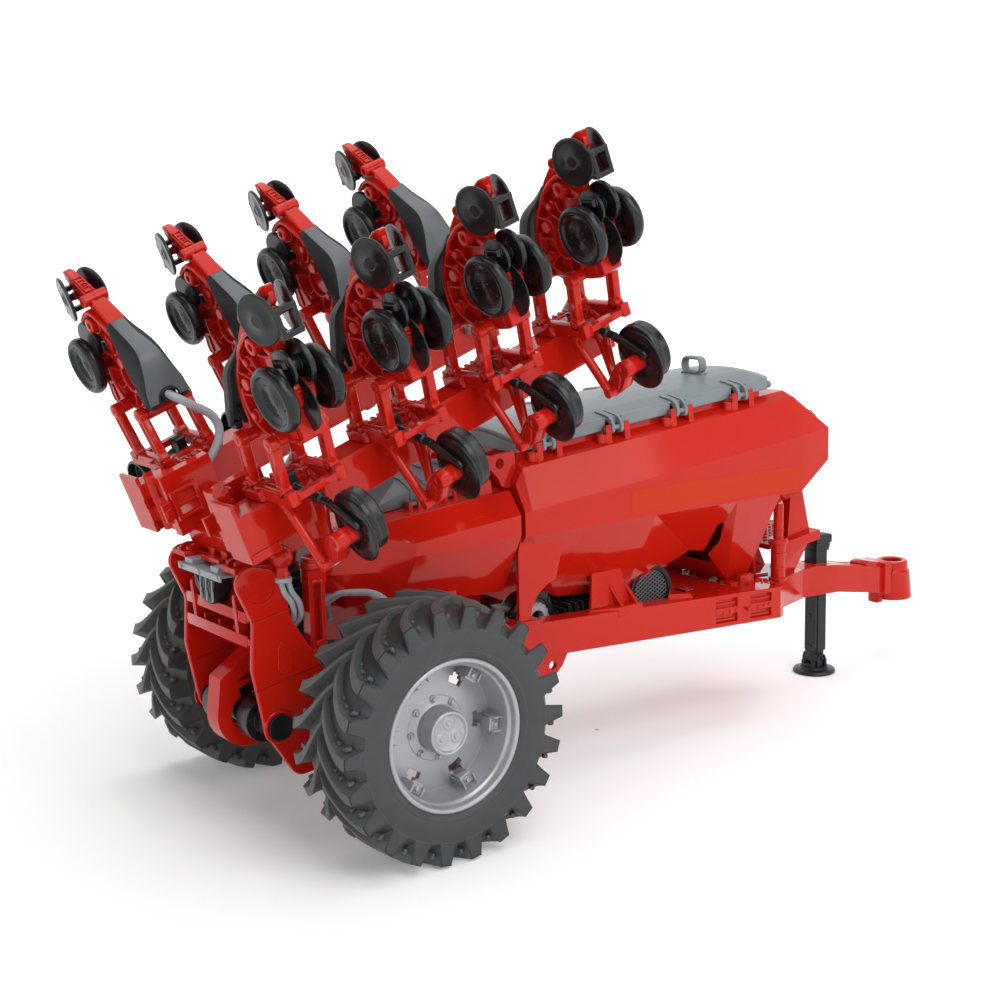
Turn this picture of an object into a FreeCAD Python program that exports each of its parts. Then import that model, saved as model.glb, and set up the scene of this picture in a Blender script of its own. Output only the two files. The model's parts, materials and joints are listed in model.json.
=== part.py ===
import FreeCAD, Part
import math
import os

# Toy precision seeder at 1:16, folded for transport and parked on its jack.
# Millimetres. +X runs forward to the drawbar, +Y to the left, +Z up.
# The origin is on the ground under the middle of the overall box. Pieces are drawn in
# the axle frame, whose X is zero at the wheel axle, and add() moves them by AXLE_X.

V = FreeCAD.Vector

# ---------------------------------------------------------------- driving dimensions
AXLE_X = -137.339        # wheel axle, behind the middle of the overall length
TYRE_R = 49.0
TYRE_W = 36.0
TRACK_OUT = 86.5         # centre line to a tyre's outer face
RIM_R = 29.0
AXLE_R = 4.0
JACK_X = 280.5           # jack leg, ahead of the axle
JACK_TRAVEL = 28.0
HOOK_X = -41.0           # cross tube that the rear frame swings on
HOOK_Z = 47.0
HOOK_R = 5.0
LIFT_DEG = 69.6          # swing of the rear frame from transport to work
REST_DEG = 90.0 - LIFT_DEG   # rise of the folded toolbars to the front
ROW_PITCH = 46.9         # 75 cm between rows at 1:16
ROWS = 4                 # row units on one wing
GROUND_Y = 88.8          # working ground line of a folded unit, from the centre line
UNIT_U = 11.7            # rearmost unit along the toolbar
GAUGE_N = 187.6          # gauge wheel axles, across the toolbar
GAUGE_H = 12.0           # height of the gauge axle over the working ground
GAUGE_R = 12.0
GAUGE_B = 9.4            # middle of a gauge wheel from the unit's own middle
PIN_R = 1.5              # gauge axles and fold pins
HINGE_R = 1.0            # lid hinge pins
RUN = 0.06               # running fit of a pin in its hole, on the radius
FOLD_U = -9.0            # wing fold axis along the toolbar and from the centre line
FOLD_Y = 29.0
RAIL_Y = 40.0            # outer face of the side rails
RAIL_W = 9.0
RAIL_H = 14.5
PLATE_Y = 27.0           # middle of a rear side plate
PLATE_T = 2.4
BELT_Y = 41.0            # widest line of the hoppers
RIM_Y = 35.0             # edge of the front hopper's top
FLAT_Y = 28.2            # where that top stops rising inwards
FLAT_RISE = 2.4
GAP_X = 67.0             # joint between the two hoppers
LID_X = 142.0            # front lid: middle, hinge line and its rise to the front
LID_HINGE_Y = -31.6
LID_HINGE_Z = 145.9
LID_RISE_DEG = 5.36
LID_HALF = 30.0
LID_BAND = 4.9           # height of the front lid's upright edge
LID_OPEN_DEG = 60.0
TANK_LID_X = 35.0        # rear lid: middle, hinge line and its rise to the front
TANK_LID_HINGE_Y = -23.0
TANK_LID_HINGE_Z = 123.4
TANK_RISE_DEG = 5.37
TANK_LID_OPEN_DEG = 70.0
TANK_HINGES = (25.35, 42.35)
RING_X = 338.0           # coupling ring
RING_Z = 39.5
RING_BORE_R = 5.0
RING_LEN = 19.0
BAR_A0, BAR_A1 = -56.6, -41.6    # toolbar section in the unit frame
BAR_H0, BAR_H1 = 42.8, 56.8

COS, SIN = math.cos(math.radians(REST_DEG)), math.sin(math.radians(REST_DEG))
U_DIR = V(COS, 0, SIN)   # along the folded toolbars, up and forward
N_DIR = V(-SIN, 0, COS)  # rearward in work, up and back when folded

out = {}


# ---------------------------------------------------------------- shape helpers
def box(x0, x1, y0, y1, z0, z1):
    return Part.makeBox(x1 - x0, y1 - y0, z1 - z0, V(x0, y0, z0))


def rod(p, q, r):
    p, q = V(*p), V(*q)
    return Part.makeCylinder(r, (q - p).Length, p, q - p)


def cone(p, q, r0, r1):
    p, q = V(*p), V(*q)
    return Part.makeCone(r0, r1, (q - p).Length, p, q - p)


def ring(p, q, r, bore):
    return rod(p, q, r).cut(rod(p, q, bore))


def ball(p, r):
    return Part.makeSphere(r, V(*p))


def bent(points, radius):
    """Edges along straight runs joined by tangent arcs."""
    edges, start = [], points[0]
    for a, b, c in zip(points, points[1:], points[2:]):
        d0, d1 = (b - a).normalize(), (c - b).normalize()
        turn = d0.getAngle(d1)
        cut = min(radius * math.tan(turn / 2), 0.45 * (b - a).Length, 0.45 * (c - b).Length)
        p, q = b - d0 * cut, b + d1 * cut
        arc_r = cut / math.tan(turn / 2)
        middle = b + (d1 - d0).normalize() * (arc_r / math.cos(turn / 2) - arc_r)
        edges += [Part.LineSegment(start, p).toShape(), Part.Arc(p, middle, q).toShape()]
        start = q
    edges.append(Part.LineSegment(start, points[-1]).toShape())
    return edges


def outline(points, radius=0.0):
    """Flat face inside a closed outline, its corners rounded by radius."""
    pts = [V(*p) for p in points]
    if not radius:
        return Part.Face(Part.makePolygon(pts + [pts[0]]))
    start = (pts[0] + pts[-1]) * 0.5
    return Part.Face(Part.Wire(bent([start] + pts + [start], radius)))


def plate_y(points, y0, y1, radius=0.0):
    """Plate cut from an outline in X and Z, between two distances in Y."""
    return outline([(x, y0, z) for x, z in points], radius).extrude(V(0, y1 - y0, 0))


def plate_z(points, z0, z1):
    return outline([(x, y, z0) for x, y in points]).extrude(V(0, 0, z1 - z0))


def revolve_y(profile, x, z):
    """Solid turned about the line along Y through x, z, from (radius, y) points."""
    return outline([(x + r, y, z) for r, y in profile]).revolve(V(x, 0, z), V(0, 1, 0), 360)


def pipe(points, r, radius):
    """Round bar along straight runs joined by tangent arcs."""
    pts = [V(*p) for p in points]
    path = Part.Wire(bent(pts, radius))
    profile = Part.Wire(Part.makeCircle(r, pts[0], pts[1] - pts[0]))
    return path.makePipeShell([profile], True, True)


def beam(p, q, wide, high):
    """Square-cut bar from p to q: wide in Y, high across it."""
    p, q = V(*p), V(*q)
    along = (q - p).normalize()
    up = along.cross(V(0, 1, 0)).normalize()
    side = up.cross(along).normalize()
    corners = [p + side * (a * wide / 2) + up * (b * high / 2) for a, b in ((-1, -1), (1, -1), (1, 1), (-1, 1))]
    return outline([tuple(v) for v in corners]).extrude(q - p)


def skinned(sections):
    """Solid skinned straight between closed outlines with equal point counts."""
    rings = [[V(*p) for p in s] for s in sections]
    faces = [cap(rings[0]), cap(rings[-1])]
    for a, b in zip(rings, rings[1:]):
        for i in range(len(a)):
            j = (i + 1) % len(a)
            faces += quad(a[i], a[j], b[j], b[i])
    shell = Part.makeShell(faces)
    shell.sewShape()
    solid = Part.makeSolid(shell)
    if solid.Volume < 0:
        solid.reverse()
    return solid


def cap(points):
    return Part.Face(Part.makePolygon(points + [points[0]]))


def quad(a, b, c, d):
    """Four corners as one face where they are flat, else as two triangles."""
    if (a - b).Length < 1e-6:
        return [cap([b, c, d])]
    if (c - d).Length < 1e-6:
        return [cap([a, b, c])]
    normal = (b - a).cross(c - a).normalize()
    if abs(normal.dot(d - a)) < 1e-6:
        return [cap([a, b, c, d])]
    return [cap([a, b, c]), cap([a, c, d])]


def fused(*shapes):
    return shapes[0].multiFuse(list(shapes[1:])).removeSplitter() if len(shapes) > 1 else shapes[0]


def mirrored(shape):
    return shape.mirror(V(0, 0, 0), V(0, 1, 0))


def both(*shapes):
    return list(shapes) + [mirrored(s) for s in shapes]


def add(node, *shapes):
    """Collect one node's solids and move them from the axle frame to the part's."""
    solids = [s for shape in shapes for s in shape.Solids]
    whole = Part.makeCompound(solids) if len(solids) > 1 else solids[0]
    whole.translate(V(AXLE_X, 0, 0))
    out[node] = whole


def trim(node, *others):
    """Shape a node to the faces of the pieces that it meets, without crumbs."""
    for other in others:
        out[node] = out[node].cut(out[other])
    solids = [s for s in out[node].Solids if s.Volume > 1.0]
    out[node] = Part.makeCompound(solids) if len(solids) > 1 else solids[0]


def tilt(shape):
    """Shape drawn with X along the folded toolbars and Z across them, laid in place."""
    moved = shape.copy()
    moved.rotate(V(0, 0, 0), V(0, 1, 0), -REST_DEG)
    return moved


# ---------------------------------------------------------------- wheels and axle
def wheel(side, name):
    """Tyre and dished rim on one side, side = -1 right, 1 left."""
    def y(depth):
        return side * (TRACK_OUT - depth)
    crown = [(RIM_R, 2.0), (36.0, 0.0), (44.0, 0.6), (TYRE_R, 4.0), (TYRE_R, TYRE_W - 4.0),
             (44.0, TYRE_W - 0.6), (36.0, TYRE_W), (RIM_R, TYRE_W - 2.0)]
    add("tyre_" + name, revolve_y([(r, y(d)) for r, d in crown], 0, TYRE_R))
    dish = [(RIM_R, 2.4), (RIM_R, 1.2), (RIM_R - 3.0, 1.2), (RIM_R - 4.4, 4.0), (RIM_R - 6.0, 14.0),
            (12.0, 12.0), (10.0, 9.0), (10.0, 3.5), (6.5, 2.0), (0.0, 2.0), (0.0, 15.5), (AXLE_R + RUN, 15.5),
            (AXLE_R + RUN, 20.0), (13.0, 20.0), (RIM_R - 4.6, 18.0), (RIM_R - 4.0, TYRE_W - 3.0),
            (RIM_R, TYRE_W - 3.0)]
    rim = revolve_y([(r, y(d)) for r, d in dish], 0, TYRE_R)
    for i in range(6):
        turn = math.radians(60 * i + 30)
        x, z = 17.3 * math.cos(turn), TYRE_R + 17.3 * math.sin(turn)
        rim = rim.cut(rod((x, y(10), z), (x, y(22), z), 3.2))
    add("rim_" + name, rim)


def axle():
    half = TRACK_OUT - 15.8
    shaft = rod((0, -half, TYRE_R), (0, half, TYRE_R), AXLE_R)
    casing = box(-8, 8, -44, 44, TYRE_R - 7, TYRE_R + 7)
    ends = both(rod((0, 43, TYRE_R), (0, TRACK_OUT - 20.4, TYRE_R), 9.0))
    drum = rod((0, -12, TYRE_R), (0, 12, TYRE_R), 11.0)
    stands = both(box(-7.5, 7.5, 31.3, 39.7, TYRE_R + 6, rail_z(0) - 0.02))
    carriers = both(box(HOOK_X, -7, 10, 18, HOOK_Z - 4, HOOK_Z + 4),
                    rod((HOOK_X, 10, HOOK_Z), (HOOK_X, 18, HOOK_Z), HOOK_R + 3.5))
    cross = rod((HOOK_X, -30, HOOK_Z), (HOOK_X, 30, HOOK_Z), HOOK_R)
    add("axle", fused(casing, shaft, drum, *ends, *stands))
    add("hook_tube", fused(cross, *carriers).cut(box(-8.05, 8, -20, 20, 30, 60)))


# ---------------------------------------------------------------- chassis
def rail_z(x):
    """Bottom of the rails, which fall to the front."""
    return 55.0 - 0.052 * (x - 70.0)


def deck_z(x):
    return rail_z(x) + RAIL_H


def bar_x(x0, x1, y0, y1, lift=0.0, high=RAIL_H):
    """Bar that follows the rails' fall, with its own width and height."""
    return skinned([[(x, y0, rail_z(x) + lift), (x, y1, rail_z(x) + lift),
                     (x, y1, rail_z(x) + lift + high), (x, y0, rail_z(x) + lift + high)] for x in (x0, x1)])


def chassis():
    front, rear = 214.0, -14.0
    rails = both(bar_x(rear, front, RAIL_Y - RAIL_W, RAIL_Y))
    crosses = [bar_x(rear, rear + 6, -RAIL_Y + 2, RAIL_Y - 2, 2, 8), bar_x(56, 63, -RAIL_Y + 2, RAIL_Y - 2, 1, 9)]
    for panel_x in (173.0, 194.5):
        hollow = bar_x(panel_x, panel_x + 13.5, RAIL_Y - 1.6, RAIL_Y + 1, 1.8, 11.0)
        strip = bar_x(panel_x, panel_x + 13.5, RAIL_Y - 2.0, RAIL_Y - 0.2, 5.6, 3.0)
        rails = [r.cut(h).fuse(s) for r, h, s in zip(rails, both(hollow), both(strip))]
    deck = plate_z([(front, -32), (front, 32), (150, 32), (178, 22), (178, -22), (150, -32)], -2.2, 0)
    deck.rotate(V(0, 0, 0), V(0, 1, 0), math.degrees(math.atan(0.052)))
    deck.translate(V(0, 0, deck_z(0) - 0.02))
    nose = skinned([
        [(front, s * y, z) for s, y, z in ((-1, RAIL_Y, rail_z(front)), (1, RAIL_Y, rail_z(front)),
                                           (1, RAIL_Y, deck_z(front)), (-1, RAIL_Y, deck_z(front)))],
        [(218.5, -37.5, 47.4), (218.5, 37.5, 47.4), (218.5, 37.5, 61.0), (218.5, -37.5, 61.0)],
        [(226.0, -27.0, 46.6), (226.0, 27.0, 46.6), (226.0, 27.0, 60.2), (226.0, -27.0, 60.2)],
        [(262.0, -8.8, 42.6), (262.0, 8.8, 42.6), (262.0, 8.8, 57.2), (262.0, -8.8, 57.2)]])
    lugs = both(plate_y([(72, 56), (90, 56), (86, 49), (80, 44), (75, 41)], 37.4, 39.6, 1.5)
                .cut(rod((81, 30, 50), (81, 45, 50), 1.9)))
    pads = both(bar_x(64, 76, RAIL_Y - 8, RAIL_Y - 0.4, RAIL_H, 1.2))
    add("chassis_frame", fused(*rails, *crosses, deck, nose, *lugs, *pads))


def drawbar():
    def sec(x, half, low, high):
        return [(x, -half, low), (x, half, low), (x, half, high), (x, -half, high)]
    bar = skinned([sec(262.1, 8.4, 42.8, 57.0), sec(272.0, 8.2, 42.4, 57.2), sec(JACK_X + 8, 8.0, 41.5, 55.4),
                   sec(305.0, 7.0, 38.4, 52.0), sec(323.9, 6.4, 35.0, 48.6)])
    bar = bar.cut(box(JACK_X - 4.2, JACK_X + 4.2, -4.2, 4.2, 30, 70))
    add("drawbar", bar)
    flange = plate_y([(323.95, 32.0), (328.0, 32.0), (328.0, 50.5), (323.95, 50.5)], -8.0, 8.0)
    neck = skinned([[(327.9, -6.4, 33.0), (327.9, 6.4, 33.0), (327.9, 6.4, 48.5), (327.9, -6.4, 48.5)],
                    [(334.0, -6.8, 31.0), (334.0, 6.8, 31.0), (334.0, 6.8, 48.0), (334.0, -6.8, 48.0)]])
    low, top = RING_Z - RING_LEN / 2, RING_Z + RING_LEN / 2
    eye = fused(rod((RING_X, 0, low), (RING_X, 0, top), 8.2),
                cone((RING_X, 0, low), (RING_X, 0, top - 4), 10.6, 8.4),
                rod((RING_X, 0, top - 3), (RING_X, 0, top), 9.0))
    bore = rod((RING_X, 0, low - 5), (RING_X, 0, top + 5), RING_BORE_R)
    tab = box(324.0, 328.0, -4.0, 4.0, 29.4, 33.0)
    add("coupling", fused(flange, neck, eye, tab).cut(bore))


def jack():
    leg = box(JACK_X - 4, JACK_X + 4, -4, 4, 6.0, 66.0)
    channel = box(JACK_X - 2.6, JACK_X + 2.6, -4.1, -1.2, 9.0, 40.0)
    head = fused(box(JACK_X - 5, JACK_X + 5, -5, 5, 60.0, 66.5),
                 box(JACK_X - 5.8, JACK_X + 5.8, -5.8, 5.8, 66.0, 71.5))
    foot = fused(rod((JACK_X, 0, 0), (JACK_X, 0, 2.2), 10.6), cone((JACK_X, 0, 2.2), (JACK_X, 0, 4.0), 9.4, 7.0),
                 box(JACK_X - 5.4, JACK_X + 5.4, -3.4, 3.4, 3.0, 9.0))
    ears = both(plate_y([(JACK_X - 3.2, 3.0), (JACK_X + 3.2, 3.0), (JACK_X + 3.2, 12.5), (JACK_X - 3.2, 12.5)],
                        4.1, 5.6, 2.6))
    add("jack", fused(leg.cut(channel), head, foot, *ears))


def platform():
    """Chequered step ahead of the hopper, with its side panels and round posts."""
    top = skinned([[(x, -24.0, z), (x, 24.0, z), (x, 24.0, z + 2.4), (x, -24.0, z + 2.4)]
                   for x, z in ((227.0, 74.0), (256.6, 77.8))])
    skirt = both(skinned([[(x, 22.6, z), (x, 24.2, z), (x, 24.2, z + 4.5), (x, 22.6, z + 4.5)]
                          for x, z in ((227.0, 72.0), (256.8, 75.8))]))
    edge = skinned([[(x, -24.2, z), (x, 24.2, z), (x, 24.2, z + 4.5), (x, -24.2, z + 4.5)]
                    for x, z in ((255.2, 75.6), (256.8, 75.8))])
    panels = both(skinned([[(232.0, 17.0, 58.9), (232.0, 18.6, 58.9), (232.0, 21.6, 75.0), (232.0, 20.0, 75.0)],
                           [(254.0, 8.6, 57.3), (254.0, 10.2, 57.3), (254.0, 21.6, 77.6), (254.0, 20.0, 77.6)]]))
    walls = both(skinned([[(238.0, 15.6, 78.0), (238.0, 21.0, 78.0), (253.0, 21.0, 79.6), (253.0, 15.6, 79.6)],
                          [(240.0, 17.0, 112.0), (240.0, 22.0, 112.0), (243.5, 22.0, 112.4), (243.5, 17.0, 112.4)]]))
    room = Part.makeCompound([box(225, 232.9, y - 5, y + 5, 60, 90) for y in (-24.6, 24.6)])
    add("platform", fused(top, *skirt, edge, *panels, *walls).cut(room))
    post = rod((228.0, 24.6, 59.95), (228.0, 24.6, 97.0), 2.4)
    base = rod((228.0, 24.6, 59.95), (228.0, 24.6, 79.0), 3.4)
    collar = rod((228.0, 24.6, 78.4), (228.0, 24.6, 80.4), 4.4)
    add("platform_posts", *both(fused(post, base, collar)))


# ---------------------------------------------------------------- hoppers
def rim_z(x):
    """Edge of the front hopper's top, which rises to the front."""
    return 133.0 + 0.0937 * (x - 69.0)


def section(x, rim, belt, low, bottom_y, bottom_z, k=1.0, rise=FLAT_RISE):
    right = [(-FLAT_Y * k, rim + rise), (-RIM_Y * k, rim), (-BELT_Y * k, belt), (-BELT_Y * k, low),
             (-bottom_y, bottom_z)]
    left = [(-y, z) for y, z in reversed(right)]
    return [(x, y, z) for y, z in right + left]


def front_hopper():
    places = [(70.5, 116.3, 106.3, 22.0, 84.5), (98.0, 119.0, 106.1, 21.0, 73.0), (137.0, 122.3, 105.8, 21.0, 69.6),
              (174.0, 125.6, 105.5, 22.0, 82.0), (185.0, 126.6, 105.4, 21.0, 80.0), (199.0, 127.8, 105.3, 20.0, 64.0),
              (212.0, 129.0, 105.2, 20.0, 64.0), (226.0, 130.4, 105.1, 20.0, 94.0)]
    rear = section(GAP_X, 126.6, 116.0, 106.3, 22.0, 86.0)
    body = skinned([rear] + [section(x, rim_z(x), b, w, y, z) for x, b, w, y, z in places])
    nose = skinned([section(226.0, rim_z(226.0), 130.4, 105.1, 20.0, 94.0),
                    section(244.2, 133.4, 132.4, 117.5, 38.0, 117.0, 0.975, 0.0)])
    core_at = [(GAP_X + 2, 114.5, 107.5, 20.0, 88.5), (98.0, 117.5, 107.2, 19.0, 75.5), (137.0, 120.8, 107.0, 19.0, 72.1),
               (174.0, 124.1, 106.8, 20.0, 84.5), (198.0, 126.2, 106.6, 18.0, 68.5), (211.0, 127.4, 106.5, 18.0, 68.5),
               (223.0, 128.4, 106.4, 18.5, 97.0)]
    core = skinned([section(x, min(rim_z(x) - 2.0, 126.0 + 6.0 * (x - GAP_X - 2)), b, w, y, z, 0.955, 0.0)
                    for x, b, w, y, z in core_at])
    mouth = box(76.0, 208.5, -26.2, 26.2, 125.0, 170.0)
    ends = (73.0, 211.0)
    collar = skinned([[(x, -28.0, rim_z(x)), (x, 28.0, rim_z(x)), (x, 28.0, lid_foot_z(x) + 0.5),
                       (x, -28.0, lid_foot_z(x) + 0.5)] for x in ends])
    legs = both(plate_y([(GAP_X, 106), (90, 106), (84, 85.5), (80, 84.5), (75, 81), (72, 76), (70.5, deck_z(70) + 1.2),
                         (65.2, deck_z(65) + 1.22), (65.2, 100)], 36.4, 38.2, 0.0))
    lugs, bores = [], []
    for x in hinge_places():
        shape = [(-2.3, -7.0), (1.0, -7.0), (1.0, 0.9), (-0.3, 1.75), (-1.2, 1.75)]
        for x0 in (x - 6.4, x + 3.6):
            lugs.append(skinned([[(a, LID_HINGE_Y + y, hinge_z(a) + h) for y, h in shape] for a in (x0, x0 + 2.8)]))
        bores.append(hinge_pin(x, 8.0, HINGE_R + RUN))
    ears = both(plate_y([(53.5, 136.0), (55.0, 138.4), (69.5, 139.9), (69.8, 125.0), (65.2, 125.0), (62.8, 126.0),
                         (61.0, 129.5), (57.5, 133.2), (54.2, 134.6)], 28.8, 31.2, 1.0)
                .cut(rod((62.0, 20, 135.3), (62.0, 40, 135.3), 2.1)))
    clip = box(243.6, 246.2, -7.0, 7.0, 121.0, 128.0)
    shell = fused(body, nose, collar, *legs).cut(core).cut(mouth)
    shell = fused(shell, *lugs, *ears, clip)
    for bore in bores:
        shell = shell.cut(bore)
    add("front_hopper", shell)


def hopper_brackets():
    """Gusseted feet that carry the hopper on the rails, and the bolted feet of the front funnel."""
    pieces = []
    for side in (-1, 1):
        base = bar_x(102, 129, 33.0, 40.0, RAIL_H + 0.02, 1.4)
        floor = deck_z(118) + 1.0
        back = skinned([[(112, 33.0, floor), (126, 33.0, floor), (126, 34.4, floor), (112, 34.4, floor)],
                        [(113, 26.8, 83.0), (125, 26.8, 83.0), (125, 28.2, 83.0), (113, 28.2, 83.0)]])
        webs = [skinned([[(x, 33.8, floor), (x + 1.6, 33.8, floor), (x + 1.6, 39.8, floor), (x, 39.8, floor)],
                         [(x, 28.4, 78.5), (x + 1.6, 28.4, 78.5), (x + 1.6, 31.0, 78.5), (x, 31.0, 78.5)]])
                for x in (114.4, 122.4)]
        foot = fused(box(196, 208, 19.0, 26.0, deck_z(196) + 0.03, 63.95), box(199, 206, 24.4, 26.0, 60.5, 68.0))
        pair = [fused(base, back, *webs), foot]
        pieces += pair if side > 0 else [mirrored(p) for p in pair]
    add("hopper_brackets", *pieces)


def hinge_places():
    return [86.0 + 36.6 * i for i in range(4)]


def hinge_z(x):
    return LID_HINGE_Z + math.tan(math.radians(LID_RISE_DEG)) * (x - LID_X)


def hinge_pin(x, half, r):
    """Pin of one lid hinge, along the lid's sloping edge."""
    return rod((x - half, LID_HINGE_Y, hinge_z(x - half)), (x + half, LID_HINGE_Y, hinge_z(x + half)), r)


def lid_foot_z(x):
    """Underside of the front lid's edge."""
    return 138.4 + 0.0938 * (x - 71.0)


def lid_section(x, half, crown, inset=0.0):
    """Lid cross-section at x: half width, crown over the edge, drawn in by inset."""
    z = lid_foot_z(x) + LID_BAND
    w = half - inset
    right = [(-w, -LID_BAND - 5 * inset), (-w, -inset), (-0.67 * w, 0.55 * crown - inset),
             (-0.33 * w, 0.89 * crown - inset), (0.0, crown - inset)]
    left = [(-y, h) for y, h in reversed(right[:4])]
    return [(x, y, z + h) for y, h in right + left]


def front_lid():
    shell = skinned([lid_section(71.5, LID_HALF, 3.2), lid_section(213.5, LID_HALF, 3.2), lid_section(218.0, 26.0, 2.6),
                     lid_section(219.5, 16.0, 2.0)])
    room = skinned([lid_section(73.0, LID_HALF - 0.2, 3.2, 1.5), lid_section(212.0, LID_HALF - 0.2, 3.2, 1.5),
                    lid_section(216.5, 24.0, 2.6, 1.5)])
    hooks = []
    for x in hinge_places():
        z = lid_foot_z(x)
        for dx in (-2.4, 2.4):
            hooks.append(plate_y([(x + dx - 0.9, z - 1.0), (x + dx + 0.9, z - 1.0), (x + dx + 0.9, z + 3.6),
                                  (x + dx - 0.9, z + 3.6)], -33.3, -28.9))
        hooks.append(hinge_pin(x, 6.2, HINGE_R))
    z = lid_foot_z(197.0) + LID_BAND + 3.0
    handle = box(195.4, 198.9, -7.25, 7.25, z - 2.0, z + 9.2).cut(box(190, 200, -4.25, 4.25, z + 2.0, z + 7.0))
    knob = rod((213.6, -27.6, 153.4), (217.4, -27.6, 153.8), 1.6)
    add("hopper_lid", fused(shell.cut(room), *hooks, handle, knob))


def rear_tank():
    def sec(x, half_rim, rim, half, belt, low, bottom_y, bottom_z):
        right = [(-half_rim, rim), (-half, belt), (-half, low), (-bottom_y, bottom_z)]
        return [(x, y, z) for y, z in right + [(-y, z) for y, z in reversed(right)]]
    body = skinned([
        sec(-14.0, 14.0, 113.0, 18.0, 108.0, 99.0, 14.0, 92.0), sec(3.5, 29.0, 117.9, 32.5, 113.6, 100.0, 24.0, 88.0),
        sec(14.6, 31.8, 119.9, 40.6, 111.0, 106.1, 28.0, 84.5),
        sec(GAP_X - 2.2, 33.6, 124.6, BELT_Y, 115.4, 107.2, 28.0, 82.0)])
    humps = both(plate_y([(51.5, 121.0), (52.4, 128.6), (53.8, 130.6), (56.0, 130.6), (57.4, 128.6), (58.4, 121.0)],
                         28.8, 31.2, 0.8))
    seat = skinned([[(x, -20.8, z - 3), (x, 20.8, z - 3), (x, 20.8, z), (x, -20.8, z)]
                    for x, z in ((10.5, tank_seat_z(10.5)), (60.0, tank_seat_z(60.0)))])
    lugs, bores = [], []
    for x in TANK_HINGES:
        z = tank_hinge_z(x)
        for x0, x1 in ((x - 3.0, x - 1.4), (x + 1.4, x + 3.0)):
            lugs.append(box(x0, x1, -24.8, -21.8, z - 4.5, z + 1.4))
        bores.append(tank_pin(x, 3.4, HINGE_R + RUN))
    foot = both(box(20, 40, 22, 30, deck_z(30) + 0.9, 92))
    whole = fused(body, *humps, seat, *lugs, *foot)
    for bore in bores:
        whole = whole.cut(bore)
    add("rear_tank", whole)


def tank_seat_z(x):
    """Raised seat that the rear lid shuts on."""
    return 120.1 + math.tan(math.radians(TANK_RISE_DEG)) * (x - 14.6)


def tank_hinge_z(x):
    return TANK_LID_HINGE_Z + math.tan(math.radians(TANK_RISE_DEG)) * (x - TANK_LID_X)


def tank_pin(x, half, r):
    return rod((x - half, TANK_LID_HINGE_Y, tank_hinge_z(x - half)),
               (x + half, TANK_LID_HINGE_Y, tank_hinge_z(x + half)), r)


def tank_lid():
    """Dark ribbed lid of the rear tank, with bevelled sides."""
    def sec(x, half, foot, side, rise):
        z = tank_seat_z(x) + foot
        right = [(-half, z), (-half, z + side), (-0.62 * half, z + rise - 1.0), (0.0, z + rise)]
        return [(x, y, h) for y, h in right + [(-y, h) for y, h in reversed(right[:3])]]
    slab = skinned([sec(10.8, 20.0, 0.35, 3.0, 5.0), sec(23.5, 20.4, 0.35, 6.0, 10.2), sec(54.0, 20.4, 0.35, 6.0, 10.2),
                    sec(59.0, 20.0, 0.35, 3.0, 6.0)])
    ribs = [skinned([sec(x, 20.8, 0.35, 6.4, 10.7), sec(x + 2.0, 20.8, 0.35, 6.4, 10.7)])
            for x in (25.6, 33.4, 41.2, 49.0)]
    ears = []
    for x in TANK_HINGES:
        z = tank_hinge_z(x)
        ears.append(tank_pin(x, 3.0, HINGE_R))
        ears.append(box(x - 1.2, x + 1.2, TANK_LID_HINGE_Y, -19.6, z, z + HINGE_R))
    add("tank_lid", fused(slab, *ribs, *ears))


def blower():
    """Fan housing under the hopper with its round mesh inlet, motor block and square flange."""
    x, z = 152.0, 66.6
    drum = fused(ring((x, -23.5, z), (x, -20.5, z), 10.6, 9.0), rod((x, -21.2, z), (x, 10, z), 9.6),
                 rod((x, -17, z), (x, 8, z), 11.4))
    scroll = box(104, x, -14, 10, 58.5, 72.5)
    block = box(100, 122, -24, -8, 58.5, 67.5)
    ribs = [box(bx, bx + 1.4, -26, -6, 58.5, 70.5) for bx in (100.6, 108.0, 115.4, 122.0)]
    flange = box(72, 92, -24.0, -21.6, 59.0, 77.0).cut(rod((82, -30, 67.5), (82, 0, 67.5), 7.0))
    hub = fused(rod((82, -26.0, 67.5), (82, -14.0, 67.5), 4.6), ring((82, -22.5, 67.5), (82, -14, 67.5), 8.6, 6.4),
                rod((82, -15, 67.5), (82, -12, 67.5), 8.6))
    bridge = box(84, 106, -20, 8, 58.5, 66.0)
    hangers = both(box(96, 102, 8, 31.5, 58.5, 62.5))
    add("blower", fused(drum, scroll, block, *ribs, flange, hub, bridge, *hangers))


def air_ducts():
    """Ribbed upright duct behind the rear tank and the light pipes beside it."""
    lower = rod((-19, 0, 63), (-19, 0, 100), 7.0)
    rings = [rod((-19, 0, z), (-19, 0, z + 1.8), 8.4) for z in (66 + 4.2 * i for i in range(8))]
    foot = box(-25, -8, -6, 6, 56, 64)
    bridge = box(-14, -6, -5, 5, 57, 64)
    add("air_duct", fused(lower, *rings, foot, bridge))
    pipes = [pipe([(-13, s * 7, 84), (-6, s * 17, 92), (4, s * 25, 92), (12, s * 27, 82), (14, s * 27, 68)], 2.4, 6)
             for s in (-1, 1)]
    add("feed_pipes", *[p.cut(rod((-19, 0, 60), (-19, 0, 104), 8.5)) for p in pipes])


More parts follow.
